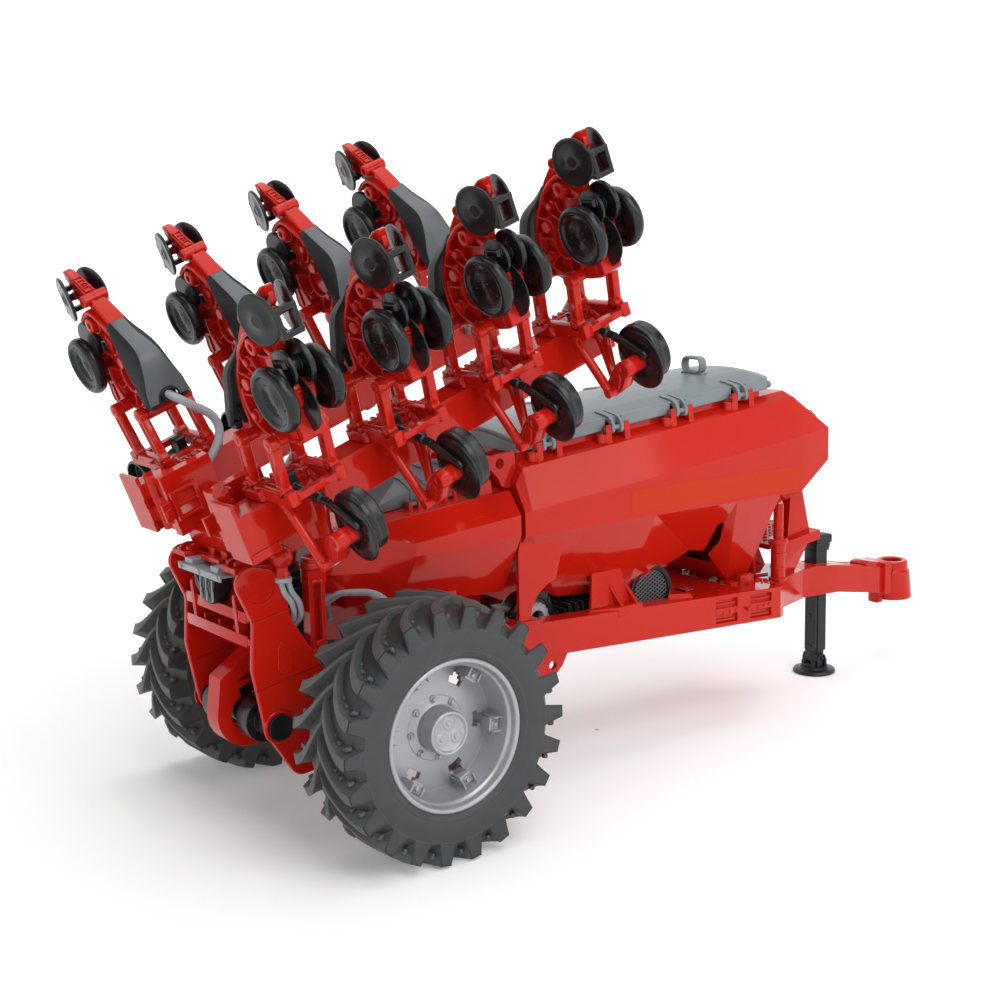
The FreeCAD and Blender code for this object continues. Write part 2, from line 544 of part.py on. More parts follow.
# ---------------------------------------------------------------- rear frame
def rear_frame():
    shape = [(-41.0, 107.5), (-52.0, 110.5), (-57.0, 104.0), (-50.0, 88.0), (-51.2, 70.0), (-46.5, 45.0),
             (-34.0, 25.5), (-23.0, 27.0), (-16.5, 42.0), (-16.5, 72.0), (-26.0, 74.5), (-34.0, 88.0), (-36.0, 100.0)]
    plate = plate_y(shape, PLATE_Y - PLATE_T / 2, PLATE_Y + PLATE_T / 2, 6.0)
    plate = plate.cut(rod((HOOK_X, 0, HOOK_Z), (HOOK_X, 40, HOOK_Z), HOOK_R + RUN))
    pad = plate_y([(-38.5, 62.0), (-38.5, 75.0), (-33.5, 77.0), (-30.5, 73.0), (-30.5, 61.0)],
                  PLATE_Y + PLATE_T / 2 - 0.1, PLATE_Y + PLATE_T / 2 + 0.7, 1.6)
    boss = rod((-45.5, PLATE_Y, 101.5), (-45.5, PLATE_Y + PLATE_T / 2 + 0.8, 101.5), 5.2)
    add("rear_side_plates", *both(fused(plate, pad, boss)))

    inner = PLATE_Y - PLATE_T / 2 - 0.02
    steps = [box(-50.5, -40.0, -inner, inner, z, z + 2.4) for z in (79.5, 88.5)]
    sides = both(plate_y([(-50.5, 79.5), (-40.0, 79.5), (-40.0, 98.0), (-47.0, 101.0), (-52.0, 97.0)],
                         16.0, 18.2, 1.2))
    riser = box(-42.0, -40.0, -18.0, 18.0, 79.5, 99.0)
    cross = rod((-33.0, -inner, 71.0), (-33.0, inner, 71.0), 3.4)
    hook = fused(rod((HOOK_X, -4.5, HOOK_Z), (HOOK_X, 4.5, HOOK_Z), 13.4),
                 plate_y([(-29.5, 71.0), (-35.5, 73.5), (-52.5, 62.0), (-54.4, 47.0), (-44.0, 47.0), (-46.5, 59.0)],
                         -4.5, 4.5, 1.0))
    hook = hook.cut(rod((HOOK_X, -6, HOOK_Z), (HOOK_X, 6, HOOK_Z), 7.4)).cut(
        plate_y([(HOOK_X, HOOK_Z), (HOOK_X - 4, HOOK_Z + 9.5), (-30, 66), (-20, 66), (-20, 38.5), (-33, 38.5)], -6, 6))
    boss = rod((-37.5, -5.6, 37.0), (-37.5, 5.6, 37.0), 2.2)
    add("lift_frame", fused(*steps, *sides, riser, cross, hook, boss))

    head = tilt(box(-6.0, 24.0, -23.0, 23.0, 114.5, 127.0))
    head = head.cut(tilt(box(-7, 4, -16, 16, 110, 119.5)))
    carrier = box(-47.0, -36.0, -inner, inner, 99.2, 107.0)
    shelf = plate_z([(-55.0, -25.5), (-38.0, -25.5), (-38.0, 25.5), (-55.0, 25.5), (-55.0, 15.0), (-52.0, 13.5),
                     (-52.0, -13.5), (-55.0, -15.0)], 107.0, 109.0)
    notch = [box(-57, -49.5, y - 3.2, y + 3.2, 100, 112) for y in (-10.5, 10.5)]
    knuckles = []
    for n0, n1 in ((128.0, 131.9), (138.1, 141.9), (148.1, 151.0)):
        knuckles += [rod((FOLD_U, FOLD_Y, n0), (FOLD_U, FOLD_Y, n1), 3.0),
                     box(FOLD_U - 1.4, FOLD_U + 5.0, 22.0, FOLD_Y, n0, n1)]
    pin = rod((FOLD_U, FOLD_Y, 128.0), (FOLD_U, FOLD_Y, 151.0), PIN_R)
    column = box(FOLD_U - 1.4, 12.0, 18.0, 23.0, 126.0, 151.0)
    tower = tilt(fused(*both(*knuckles, pin, column)))
    head = fused(head, carrier, shelf, tower)
    add("centre_head", head.cut(Part.makeCompound(notch)))
    strip = box(-56.6, -54.4, -17.5, 17.5, 102.4, 105.2)
    blocks = [box(-56.6, -49.6, y - 2.9, y + 2.9, 105.0, 109.6) for y in (-10.5, 10.5)]
    tray = skinned([[(-54.5, -9, 105.0), (-54.5, 9, 105.0), (-47.1, 9, 105.0), (-47.1, -9, 105.0)],
                    [(-53.5, -3, 90.6), (-53.5, 3, 90.6), (-47.1, 3, 90.6), (-47.1, -3, 90.6)]])
    add("latch_bar", fused(strip, *blocks, tray))

    strut = box(-24.4, -17.4, 20.4, 25.6, 72.6, 104.0).cut(box(-22.6, -19.2, 22.4, 26.0, 74.0, 98.5))
    collar = rod((-21.0, 23.0, 104.0), (-21.0, 23.0, 108.4), 3.8)
    band = rod((-21.0, 23.0, 105.2), (-21.0, 23.0, 106.8), 4.8)
    strut = fused(strut, collar, band).cut(tilt(box(-6.02, 24.02, -23.42, 23.42, 114.48, 127.0)))
    add("wing_struts", *both(strut))

    head_ball = fused(ball((-36.6, -27.0, 111.4), 4.6), cone((-36.6, -27.0, 103.6), (-36.6, -27.0, 108.4), 3.0, 2.2))
    elbow = fused(pipe([(-36.6, -29.6, 103.6), (-36.6, -29.6, 99.5), (-30.0, -28.2, 95.0), (-28.8, -24.0, 88.0),
                        (-30.0, -20.0, 82.0)], 2.0, 5.0), rod((-36.6, -29.6, 103.6), (-36.6, -29.6, 101.8), 2.8))
    plate_space = plate_y(shape, PLATE_Y - PLATE_T / 2 - 0.05, PLATE_Y + PLATE_T / 2 + 0.05, 6.0)
    ball_part = head_ball.cut(mirrored(plate_space))
    add("feed_head", ball_part, elbow.cut(mirrored(plate_space)))


# ---------------------------------------------------------------- row units
# Unit frame: a rearward in work, b sideways, h up from the working ground.
def unit_matrix(side, along):
    """Where a unit's frame lies when the wing is folded, side = -1 right, 1 left."""
    a, b, h = N_DIR, U_DIR * (1 if side < 0 else -1), V(0, -side, 0)
    o = N_DIR * GAUGE_N + U_DIR * along + V(0, side * GROUND_Y, 0)
    return FreeCAD.Matrix(a.x, b.x, h.x, o.x, a.y, b.y, h.y, o.y, a.z, b.z, h.z, o.z, 0, 0, 0, 1)


def placed(shape, side, along):
    moved = shape.copy()
    moved.transformShape(unit_matrix(side, along))
    return moved


def disc(a, h, r, b0, b1):
    return rod((a, b0, h), (a, b1, h), r)


def flat(points, b0, b1, radius=0.0):
    """Plate cut from an outline in a and h, between two distances in b."""
    return plate_y(points, b0, b1, radius)


def strip(points, thick, half):
    """Ledge of even thickness along a line in a and h, reaching half to each side."""
    pieces = []
    for (a0, h0), (a1, h1) in zip(points, points[1:]):
        pieces.append(beam((a0, 0, h0), (a1, 0, h1), 2 * half, thick))
        pieces.append(disc(a1, h1, thick / 2, -half, half))
    return pieces[:-1]


def unit_body():
    web = flat([(-19.5, 46.5), (-17.5, 49.0), (-3.0, 48.0), (5.0, 44.5), (12.5, 38.0), (16.5, 34.0), (22.5, 22.5),
                (17.5, 13.0), (12.0, 15.5), (6.0, 20.0), (0.0, 9.0), (-3.0, 9.5), (-9.0, 13.0), (-17.0, 12.0),
                (-19.5, 20.0), (-18.5, 33.0)], -2.3, 2.3, 1.4)
    rear_edge = strip([(5.0, 43.0), (12.0, 37.2), (16.0, 33.0), (21.6, 22.5), (17.4, 14.0)], 1.5, 5.6)
    ledges = strip([(11.6, 37.2), (6.0, 34.5), (2.0, 29.5)], 1.2, 5.6) + strip([(5.2, 42.4), (2.4, 37.0)], 1.2, 5.6)
    drum = ring((-6.5, -5.2, 33.0), (-6.5, 5.2, 33.0), 13.0, 11.4)
    drum = drum.cut(flat([(-6.5, 33.0), (8.0, 49.0), (20.0, 33.0), (8.0, 12.0)], -8, 8))
    cross = disc(-18.6, 48.0, 2.3, -8.4, 8.4)
    lower = disc(-17.6, 26.0, 2.6, -8.4, 8.4)
    knob = disc(1.5, 37.7, 2.4, -6.2, 6.2)
    eye = disc(16.6, 22.6, 3.0, -6.4, 6.4).cut(disc(16.6, 22.6, 1.3, -8, 8))
    toe = flat([(-8.0, 13.0), (-16.4, 11.0), (-19.8, 15.0), (-19.0, 23.0), (-12.0, 27.0), (-7.0, 22.0)],
               -5.0, 5.0, 2.0)
    hub = disc(0, GAUGE_H, 3.2, -2.3, 2.3)
    whole = fused(web, *rear_edge, *ledges, drum, cross, lower, knob, eye, toe, hub)
    whole = whole.cut(disc(-5, 14, 11.9, -1.35, 1.35)).cut(disc(0, GAUGE_H, PIN_R + RUN, -8, 8))
    return [whole]


def unit_hood():
    """Dark cover over the top of a unit, with a round notch at its front."""
    def sec(a, top, low, half):
        return [(a, -half, low), (a, -half, top - 0.8), (a, -half + 0.8, top), (a, half - 0.8, top),
                (a, half, top - 0.8), (a, half, low)]
    shell = skinned([sec(17.2, 36.4, 34.7, 3.9), sec(12.6, 42.6, 38.8, 5.4), sec(9.2, 48.6, 41.8, 6.7),
                     sec(6.4, 53.0, 44.0, 7.5), sec(3.0, 54.8, 46.0, 7.9), sec(-3.0, 56.0, 48.9, 8.4),
                     sec(-14.6, 57.0, 49.6, 9.3)])
    shell = shell.cut(rod((-10.6, 0, 48), (-10.6, 0, 60), 4.2)).cut(box(-16, -10.6, -4.2, 4.2, 48, 60))
    return [shell]


def unit_tail():
    arm = skinned([[(19.0, -3.4, 33.4), (19.0, 3.4, 33.4), (16.8, 3.4, 36.2), (16.8, -3.4, 36.2)],
                   [(25.0, -3.4, 24.4), (25.0, 3.4, 24.4), (27.4, 3.4, 28.0), (27.4, -3.4, 28.0)],
                   [(34.0, -2.6, 10.5), (34.0, 2.6, 10.5), (37.4, 2.6, 12.5), (37.4, -2.6, 12.5)],
                   [(35.0, -2.2, 5.5), (35.0, 2.2, 5.5), (37.6, 2.2, 6.6), (37.6, -2.2, 6.6)]])
    plate = skinned([[(28.2, -2.2, 25.6), (28.2, 2.2, 25.6), (29.0, 2.2, 26.2), (29.0, -2.2, 26.2)],
                     [(36.4, -1.8, 13.5), (36.4, 1.8, 13.5), (37.4, 1.8, 14.0), (37.4, -1.8, 14.0)]])
    rib = flat([(23.4, 22.6), (25.0, 26.5), (34.5, 11.0), (34.6, 6.0), (31.0, 6.0), (26.5, 13.0)], -1.4, 1.4)
    knob = disc(26.4, 23.4, 2.4, -5.4, 5.4)
    pin = disc(27.1, 9.7, 1.7, -2.6, 2.6)
    web = flat([(24.0, 20.0), (31.0, 12.0), (30.0, 8.0), (25.5, 7.6), (22.8, 16.0)], -1.4, 1.4)
    return [fused(arm, plate, rib, knob, pin, web)]


def unit_closers():
    """Two closing discs leaning apart at the top, joined by an open frame at the ground side."""
    lean = 13.0
    discs = []
    for s in (-1, 1):
        one = fused(disc(27.1, 9.9, 9.3, -0.8, 0.8), disc(27.1, 9.9, 2.4, -1.4, 1.4))
        one.rotate(V(27.1, 0, 9.9), V(1, 0, 0), -s * lean)
        one.translate(V(0, s * 5.9, 0))
        discs.append(one)
    frame = box(19.6, 30.4, -4.0, 4.0, 0.5, 3.0).cut(box(21.4, 28.6, -2.5, 2.5, 0, 4))
    links = [box(19.6, 21.4, -4.6, 4.6, 1.2, 3.6), box(28.6, 30.4, -4.6, 4.6, 1.2, 3.6)]
    whole = fused(*discs, frame, *links)
    return [whole.cut(disc(27.1, 9.7, 1.72, -2.7, 2.7))]


def unit_openers():
    """Seed opener disc between the gauge wheels and the small press shield behind it."""
    opener = disc(-5, 14, 11.2, -1.0, 1.0).cut(disc(0, GAUGE_H, PIN_R + RUN, -2, 2))
    shield = disc(8.6, 10.6, 8.0, 2.4, 4.6).cut(disc(0, GAUGE_H, PIN_R + RUN, 0, 6))
    lever = box(8.6, 11.4, -5.6, 2.5, 9.6, 12.4)
    stub = box(6.0, 13.0, -0.6, 2.5, 9.0, 14.8)
    return [opener, fused(shield, lever, stub)]


def unit_links():
    """Parallel links from the toolbar to the unit, with their cross pins and rear post."""
    bars = []
    for s in (-1, 1):
        for h0, h1 in ((48.0, 52.0), (26.0, 30.0)):
            bars.append(beam((-36.5, s * 10.2, h1), (-18.0, s * 10.2, h0), 3.2, 4.6))
            bars.append(disc(-18.0, h0, 2.9, s * 10.2 - 1.6, s * 10.2 + 1.6))
        bars.append(box(-41.58, -36.0, s * 10.2 - 2.0, s * 10.2 + 2.0, 24.5, 57.5))
        bars.append(box(-41.58, -37.5, s * 10.2 - 3.6, s * 10.2 + 3.6, 44.0, 56.0))
    tie = box(-41.58, -39.4, -13.5, 13.5, 43.6, 56.6)
    low_tie = box(-40.5, -38.0, -10.2, 10.2, 25.0, 28.5)
    teeth = [box(-41.58, -38.6, b, b + 1.5, 55.0, 58.6) for b in (-7.0 + 3.0 * i for i in range(5))]
    pin_room = fused(disc(-18.0, 48.0, 2.3, -12, -8.4), disc(-18.0, 48.0, 2.3, 8.4, 12))
    return [fused(*bars, tie, low_tie, *teeth).cut(pin_room)]


def gauge_pair():
    """Two small depth wheels on one axle, each with a rounded tread and dished faces."""
    def wheel_at(b):
        tread = [(3.0, -2.0), (8.6, -1.2), (9.8, -2.5), (11.0, -2.5), (GAUGE_R - 0.3, -1.5), (GAUGE_R, 0.0),
                 (GAUGE_R - 0.3, 1.5), (11.0, 2.5), (9.8, 2.5), (8.6, 1.2), (3.0, 2.0)]
        profile = [(0.0, -2.0)] + tread + [(0.0, 2.0)]
        return revolve_y([(r, b + t) for r, t in profile], 0, GAUGE_H)
    return fused(disc(0, GAUGE_H, PIN_R, -GAUGE_B, GAUGE_B), wheel_at(-GAUGE_B), wheel_at(GAUGE_B))


def coulter():
    """Fork that carries the fertiliser disc ahead of the toolbar."""
    right = pipe([(-39.9, -9.0, 49.0), (-39.9, -9.0, 40.0), (-46.0, -9.0, 34.0), (-61.0, -9.0, 27.0),
                  (-66.5, -8.6, 25.0)], 1.5, 5.0)
    outer = pipe([(-39.9, 7.4, 49.0), (-39.9, 7.4, 40.0), (-46.0, 5.6, 35.0), (-58.0, -1.0, 29.0),
                  (-64.0, -3.6, 26.0)], 1.3, 5.0)
    inner = pipe([(-48.0, 4.4, BAR_H0 - 0.02), (-49.5, 3.4, 38.0), (-58.0, -2.0, 29.5), (-64.0, -4.0, 26.0)], 1.3, 5.0)
    tie = disc(-66.0, 25.2, 1.9, -10.4, -1.0)
    foot = flat([(-69.5, 27.5), (-64.5, 29.5), (-58.5, 25.0), (-54.0, 18.6), (-53.4, 13.0), (-58.0, 12.0),
                 (-66.0, 17.5)], -6.4, -0.8, 1.5)
    boss = disc(-56.6, 15.7, 3.4, -6.4, 2.3)
    return [fused(right, outer, inner, tie, foot, boss)]


def coulter_disc():
    """Fertiliser disc with its guard band and the scraper arm that reaches down to it."""
    plate = disc(-56.6, 15.7, 12.2, 2.4, 3.8)
    band = ring((-54.6, 3.8, 16.9), (-54.6, 10.0, 16.9), 11.9, 10.7)
    band = fused(band, disc(-54.6, 16.9, 11.6, 3.7, 4.9))
    clip = fused(box(-41.3, -34.6, -5.4, -0.6, BAR_H0 - 5.6, BAR_H0 - 0.4), box(-39.2, -35.0, -5.4, -0.6, 37, 43.4))
    arm = pipe([(-38.0, -3.0, 40.5), (-41.5, -1.0, 35.0), (-44.5, 0.6, 29.5), (-46.5, 1.4, 24.0)], 1.5, 4.0)
    blade = flat([(-45.2, 24.6), (-48.0, 25.2), (-55.2, 10.5), (-53.4, 8.6), (-51.8, 10.0)], 0.8, 2.5, 0.8)
    whole = fused(plate, band, clip, arm, blade)
    return [whole.cut(disc(-56.6, 15.7, 3.44, -7, 2.38))]


def seed_hose(hand):
    """Light hose from a unit's hood to the toolbar, bowed sideways by hand (+1 or -1)."""
    route = [(-11.6, 0, 50.5), (-12.4, 0, 55.5), (-21.5, 7.5, 58.6), (-32.0, 14.6, 58.6), (-38.4, 12.5, 59.6),
             (-43.0, 4.5, 60.4), (-45.6, 0, 60.4)]
    hose = pipe([(a, hand * b, h) for a, b, h in route], 1.8, 5.0)
    socket = fused(rod((-47.5, -0.6 * hand, 60.4), (-45.4, 0.2 * hand, 60.4), 2.6),
                   box(-50.0, -46.5, -3.0, 3.0, BAR_H1 + 0.02, 61.0))
    return [fused(hose, socket)]


def toolbar(u0, u1):
    bar = flat([(BAR_A0, BAR_H0), (BAR_A1, BAR_H0), (BAR_A1, BAR_H1), (BAR_A0, BAR_H1)], u0, u1)
    lips = [box(BAR_A0 - 0.9, BAR_A0 + 0.1, u0 + 6, u1, BAR_H0, BAR_H0 + 1.6),
            box(BAR_A0 - 0.9, BAR_A0 + 0.1, u0 + 6, u1, BAR_H1 - 1.6, BAR_H1)]
    end = box(BAR_A0 - 0.9, BAR_A1, u1 - 1.6, u1, BAR_H0, BAR_H1)
    return fused(bar, *lips, end)


def wing_root(side):
    """Fold bracket at the rear end of a toolbar, in the tilted frame, drawn for the left."""
    n0 = GAUGE_N + BAR_A0
    plate = box(-14.0, -2.0, 32.6, 46.6, n0 - 3.4, n0 - 0.02)
    cover = box(-14.6, -13.02, 31.4, 46.0, n0 - 3.4, 151.0)
    knuckles = []
    for k0, k1 in ((132.0, 138.0), (142.0, 148.0)):
        knuckles += [rod((FOLD_U, FOLD_Y, k0), (FOLD_U, FOLD_Y, k1), 3.0),
                     box(FOLD_U - 3.0, FOLD_U + 3.0, FOLD_Y, 31.97, k0, k1),
                     box(-14.6, FOLD_U + 3.0, 30.6, 31.98, k0, k1)]
    louvre = box(2.6, 15.0, 25.0, 31.96, 127.4, 137.2)
    slots = [box(2.0, 8.0, 26.6, 30.6, n, n + 2.4) for n in (129.2, 133.2)]
    bore = rod((FOLD_U, FOLD_Y, 120.0), (FOLD_U, FOLD_Y, 160.0), PIN_R + RUN)
    stay = box(-1.0, 3.0, 28.0, 31.96, 130.0, 136.0)
    hinge = fused(plate, cover, *knuckles).cut(bore)
    box_part = fused(louvre, stay).cut(slots[0]).cut(slots[1])
    parts = [tilt(hinge), tilt(box_part)]
    return parts if side > 0 else [mirrored(p) for p in parts]


def wings():
    u0, u1 = -13.0, UNIT_U + (ROWS - 1) * ROW_PITCH + 14
    makers = {"unit_bodies": unit_body, "unit_hoods": unit_hood, "unit_tails": unit_tail,
              "link_arms": unit_links, "closing_discs": unit_closers, "opener_discs": unit_openers,
              "coulters": coulter, "coulter_discs": coulter_disc}
    for side, name in ((-1, "right"), (1, "left")):
        bar = toolbar(u0, u1) if side < 0 else mirrored(toolbar(u0, u1))
        add("toolbar_" + name, placed(bar, side, 0))
        add("wing_root_" + name, *wing_root(side))
        places = [UNIT_U + k * ROW_PITCH for k in range(ROWS)]
        for label, make in makers.items():
            shapes = make()
            add(label + "_" + name, *[placed(s, side, u) for u in places for s in shapes])
        hose = seed_hose(-side)
        add("seed_hoses_" + name, *[placed(s, side, u) for u in places for s in hose])
        for k, u in enumerate(places):
            add("gauge_wheels_%s_%d" % (name, k + 1), placed(gauge_pair(), side, u))


# ---------------------------------------------------------------- build
wheel(-1, "right")
wheel(1, "left")
axle()
chassis()
drawbar()
jack()
platform()
front_hopper()
hopper_brackets()
front_lid()
rear_tank()
tank_lid()
blower()
air_ducts()
rear_frame()
wings()

trim("axle", "chassis_frame")
trim("hook_tube", "axle")
trim("hopper_brackets", "front_hopper", "chassis_frame")
trim("platform", "chassis_frame", "front_hopper")
trim("platform_posts", "chassis_frame", "front_hopper", "platform")
trim("rear_tank", "chassis_frame")
trim("blower", "front_hopper", "chassis_frame")
trim("air_duct", "chassis_frame", "axle", "rear_tank")
trim("feed_pipes", "rear_tank", "air_duct", "chassis_frame")
trim("lift_frame", "centre_head")
trim("latch_bar", "lift_frame", "centre_head")
trim("wing_struts", "centre_head", "lift_frame")
trim("feed_head", "centre_head", "rear_side_plates", "lift_frame")
for wing in ("_right", "_left"):
    trim("wing_root" + wing, "toolbar" + wing)
    trim("unit_tails" + wing, "unit_hoods" + wing, "unit_bodies" + wing)
    trim("coulters" + wing, "link_arms" + wing, "toolbar" + wing)
    trim("coulter_discs" + wing, "coulters" + wing, "link_arms" + wing)
    trim("seed_hoses" + wing, "unit_hoods" + wing, "link_arms" + wing, "unit_bodies" + wing)

os.makedirs("parts", exist_ok=True)
for node, shape in out.items():
    if not shape.isValid():
        print("INVALID", node)
    shape.exportStep("parts/%s.step" % node)
whole = Part.makeCompound(list(out.values())).optimalBoundingBox(False)
print("nodes", len(out), "solids", sum(len(s.Solids) for s in out.values()))
print("box x %.2f..%.2f y %.2f..%.2f z %.2f..%.2f" % (
    whole.XMin, whole.XMax, whole.YMin, whole.YMax, whole.ZMin, whole.ZMax))
print("middle x %.3f" % ((whole.XMin + whole.XMax) / 2))
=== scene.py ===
# %% [markdown]
# # A folded toy seeder, dressed for its portrait
# The toy is already built as separate bodies with real joints. This lesson loads those
# bodies as a fixed frame and makes the looks around them: rubber with real lugs, glossy
# moulded plastic with rounded edges, bolts, ribs and seams.

# %% Load the frame
import json
import math
import bpy
import numpy as np
from mathutils import Matrix, Vector


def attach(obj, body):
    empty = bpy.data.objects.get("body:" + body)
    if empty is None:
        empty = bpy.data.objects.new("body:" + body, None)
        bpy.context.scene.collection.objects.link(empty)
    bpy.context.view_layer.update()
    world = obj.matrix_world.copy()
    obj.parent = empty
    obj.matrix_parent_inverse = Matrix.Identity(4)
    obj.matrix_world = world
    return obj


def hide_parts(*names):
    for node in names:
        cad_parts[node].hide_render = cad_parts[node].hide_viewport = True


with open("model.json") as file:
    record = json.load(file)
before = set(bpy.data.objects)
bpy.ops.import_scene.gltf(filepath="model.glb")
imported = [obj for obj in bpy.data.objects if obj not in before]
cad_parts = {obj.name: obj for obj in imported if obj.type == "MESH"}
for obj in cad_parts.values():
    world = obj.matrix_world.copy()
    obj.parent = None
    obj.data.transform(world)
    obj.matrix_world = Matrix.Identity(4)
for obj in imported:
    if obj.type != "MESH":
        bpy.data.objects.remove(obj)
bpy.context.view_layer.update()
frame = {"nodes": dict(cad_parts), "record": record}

# %% [markdown]
# The shapes are worked out in millimetres with X zero at the wheel axle, because a toy is
# easier to think about that way. Two rules carry them to the frame: move X back by the
# axle's place, and divide by a thousand. These are the toy's own main sizes.

# %% Main sizes, in millimetres
AXLE_X = -137.339                  # where the frame keeps the wheel axle
TYRE_R, TYRE_W, RIM_R = 49.0, 36.0, 29.0
TRACK_OUT = 86.5                   # from the middle of the toy to a tyre's outer face
REST = math.radians(20.4)          # rise of the folded wings to the front
ROWS, ROW_PITCH = 4, 46.9          # row units on a wing, and their spacing
UNIT_U = 11.7                      # place of the first unit along the wing
GAUGE_N, GROUND_Y = 187.6, 88.8    # gauge axle up the wing, and the units' ground plane
GAUGE_H, GAUGE_B = 12.0, 9.4       # gauge axle over that ground, wheel off the unit's middle
SIDES = (("right", -1), ("left", 1))


def metres(points):
    p = np.array(points, float).reshape(-1, 3)
    return (p + (AXLE_X, 0, 0)) / 1000.0


print("row units:", ROWS * 2, "at", ROW_PITCH, "mm")

# %% [markdown]
# Every piece below is a "lump": a list of corners and a list of faces, still in
# millimetres. Lumps can be moved, mirrored and joined before they become one mesh, so a
# row of eight units is one piece of code. A loft, which skins straight between matching
# rings, is the one way of making faces, and the rest of the helpers only draw its rings.

# %% Lumps: loft, join, move
def loft(rings, caps=True, round_trip=False):
    """Skin between closed rings of equal length; a round trip ends where it began."""
    n, m = len(rings[0]), len(rings)
    verts = [tuple(p) for ring in rings for p in ring]
    faces = []
    for i in range(m if round_trip else m - 1):
        k = (i + 1) % m
        for j in range(n):
            l = (j + 1) % n
            faces.append((i * n + j, i * n + l, k * n + l, k * n + j))
    if caps and not round_trip:
        faces += [tuple(reversed(range(n))), tuple(range((m - 1) * n, m * n))]
    return verts, faces


def join(*lumps):
    verts, faces = [], []
    for v, f in lumps:
        start = len(verts)
        verts += list(v)
        faces += [tuple(i + start for i in face) for face in f]
    return verts, faces


def moved(lump, matrix):
    """The lump carried by a 4 by 4 matrix; a mirroring matrix turns its faces over."""
    m = np.array(matrix, float)
    v = np.array(lump[0], float).reshape(-1, 3) @ m[:3, :3].T + m[:3, 3]
    if np.linalg.det(m[:3, :3]) > 0:
        return [tuple(p) for p in v], lump[1]
    return [tuple(p) for p in v], [tuple(reversed(f)) for f in lump[1]]


def shifted(lump, y):
    return moved(lump, Matrix.Translation((0, y, 0)))


def mirrored(lump):
    return moved(lump, Matrix.Diagonal((1, -1, 1, 1)))


def both(*lumps):
    """The lumps and their mirror images on the toy's other side."""
    return join(*lumps, *[mirrored(one) for one in lumps])


print("lump helpers ready")

# %% [markdown]
# Most parts of a moulded toy are one of a few forms: a turned one, a flat plate cut to an
# outline, a box, a square bar, a bolt head or a bent pipe. Each form gets a helper that
# works out its rings and hands them to the loft. The edges are broken by a fraction of a
# millimetre, since a mould can't make a perfectly sharp corner and the light shows it.

# %% Lumps: rods, lathe work, plates, boxes
def across(direction):
    """Two unit vectors square to a direction."""
    d = Vector(direction).normalized()
    side = d.cross(Vector((0, 0, 1)) if abs(d.z) < 0.9 else Vector((1, 0, 0))).normalized()
    return side, d.cross(side).normalized()


def lathe(profile, start, direction, n=48, caps=True, turn=0.0):
    """Turned form about a line: profile holds (radius, distance along the line)."""
    d = Vector(direction).normalized()
    s, t = across(d)
    angles = [turn + 2 * math.pi * i / n for i in range(n)]
    rings = []
    for r, along in profile:
        c = Vector(start) + d * along
        rings.append([c + s * (r * math.cos(a)) + t * (r * math.sin(a)) for a in angles])
    return loft(rings, caps)


def rod(p, q, r, n=32):
    """Round bar with softly broken ends."""
    along = Vector(q) - Vector(p)
    e, length = min(0.3, r * 0.4, along.length * 0.3), along.length
    return lathe([(r - e, 0), (r, e), (r, length - e), (r - e, length)], p, along, n)


def inset(points, by):
    """A closed outline drawn in by a distance, corner by corner."""
    out, n = [], len(points)
    area = sum(p[0] * q[1] - q[0] * p[1] for p, q in zip(points, list(points[1:]) + [points[0]]))
    sign = 1 if area > 0 else -1
    for i in range(n):
        a, b, c = (Vector(points[(i + k) % n]) for k in (-1, 0, 1))
        d0, d1 = (b - a).normalized(), (c - b).normalized()
        n0, n1 = Vector((-d0.y, d0.x)) * sign, Vector((-d1.y, d1.x)) * sign
        mid = n0 + n1
        scale = min(2.5, 2.0 / max(mid.length_squared, 0.3))
        out.append(tuple(b + mid * (by * scale / 2)) if mid.length > 1e-6 else tuple(b))
    return out


def rounded(points, r, steps=4):
    """A closed outline with its corners rounded."""
    out, n = [], len(points)
    for i in range(n):
        a, b, c = (Vector(points[(i + k) % n]) for k in (-1, 0, 1))
        d0, d1 = (a - b), (c - b)
        half = max(0.15, d0.angle(d1, math.pi) / 2)
        cut = min(r / math.tan(half), d0.length * 0.48, d1.length * 0.48)
        p, q = b + d0.normalized() * cut, b + d1.normalized() * cut
        for k in range(steps + 1):
            t = k / steps
            out.append(tuple(p * (1 - t) ** 2 + b * (2 * t * (1 - t)) + q * t ** 2))
    return out


def plate(points, y0, y1, edge=0.35, r=0.0):
    """Plate from an outline in X and Z, between two distances in Y, edges broken."""
    outer = rounded(points, r) if r else points
    inner = inset(outer, edge)
    rings = [[(x, y, z) for x, z in o] for o, y in
             ((inner, y0), (outer, y0 + edge), (outer, y1 - edge), (inner, y1))]
    return loft(rings)


def block(x0, x1, y0, y1, z0, z1, edge=0.35):
    return plate([(x0, z0), (x1, z0), (x1, z1), (x0, z1)], y0, y1, min(edge, (y1 - y0) * 0.3))


def bar(p, q, wide, high, edge=0.3):
    """Square bar from p to q, wide along Y as far as it can be."""
    p, q = Vector(p), Vector(q)
    d = (q - p).normalized()
    up = d.cross(Vector((0, 1, 0)))
    up = up.normalized() if up.length > 1e-6 else Vector((0, 0, 1))
    side = up.cross(d).normalized()
    e = min(edge, wide * 0.25, high * 0.25)
    x, y = wide / 2, high / 2
    section = [(e - x, -y), (x - e, -y), (x, e - y), (x, y - e), (x - e, y), (e - x, y), (-x, y - e),
               (-x, e - y)]
    rings = []
    for c, k in ((p, 0.86), (p + d * e, 1.0), (q - d * e, 1.0), (q, 0.86)):
        rings.append([c + side * (a * k) + up * (b * k) for a, b in section])
    return loft(rings)


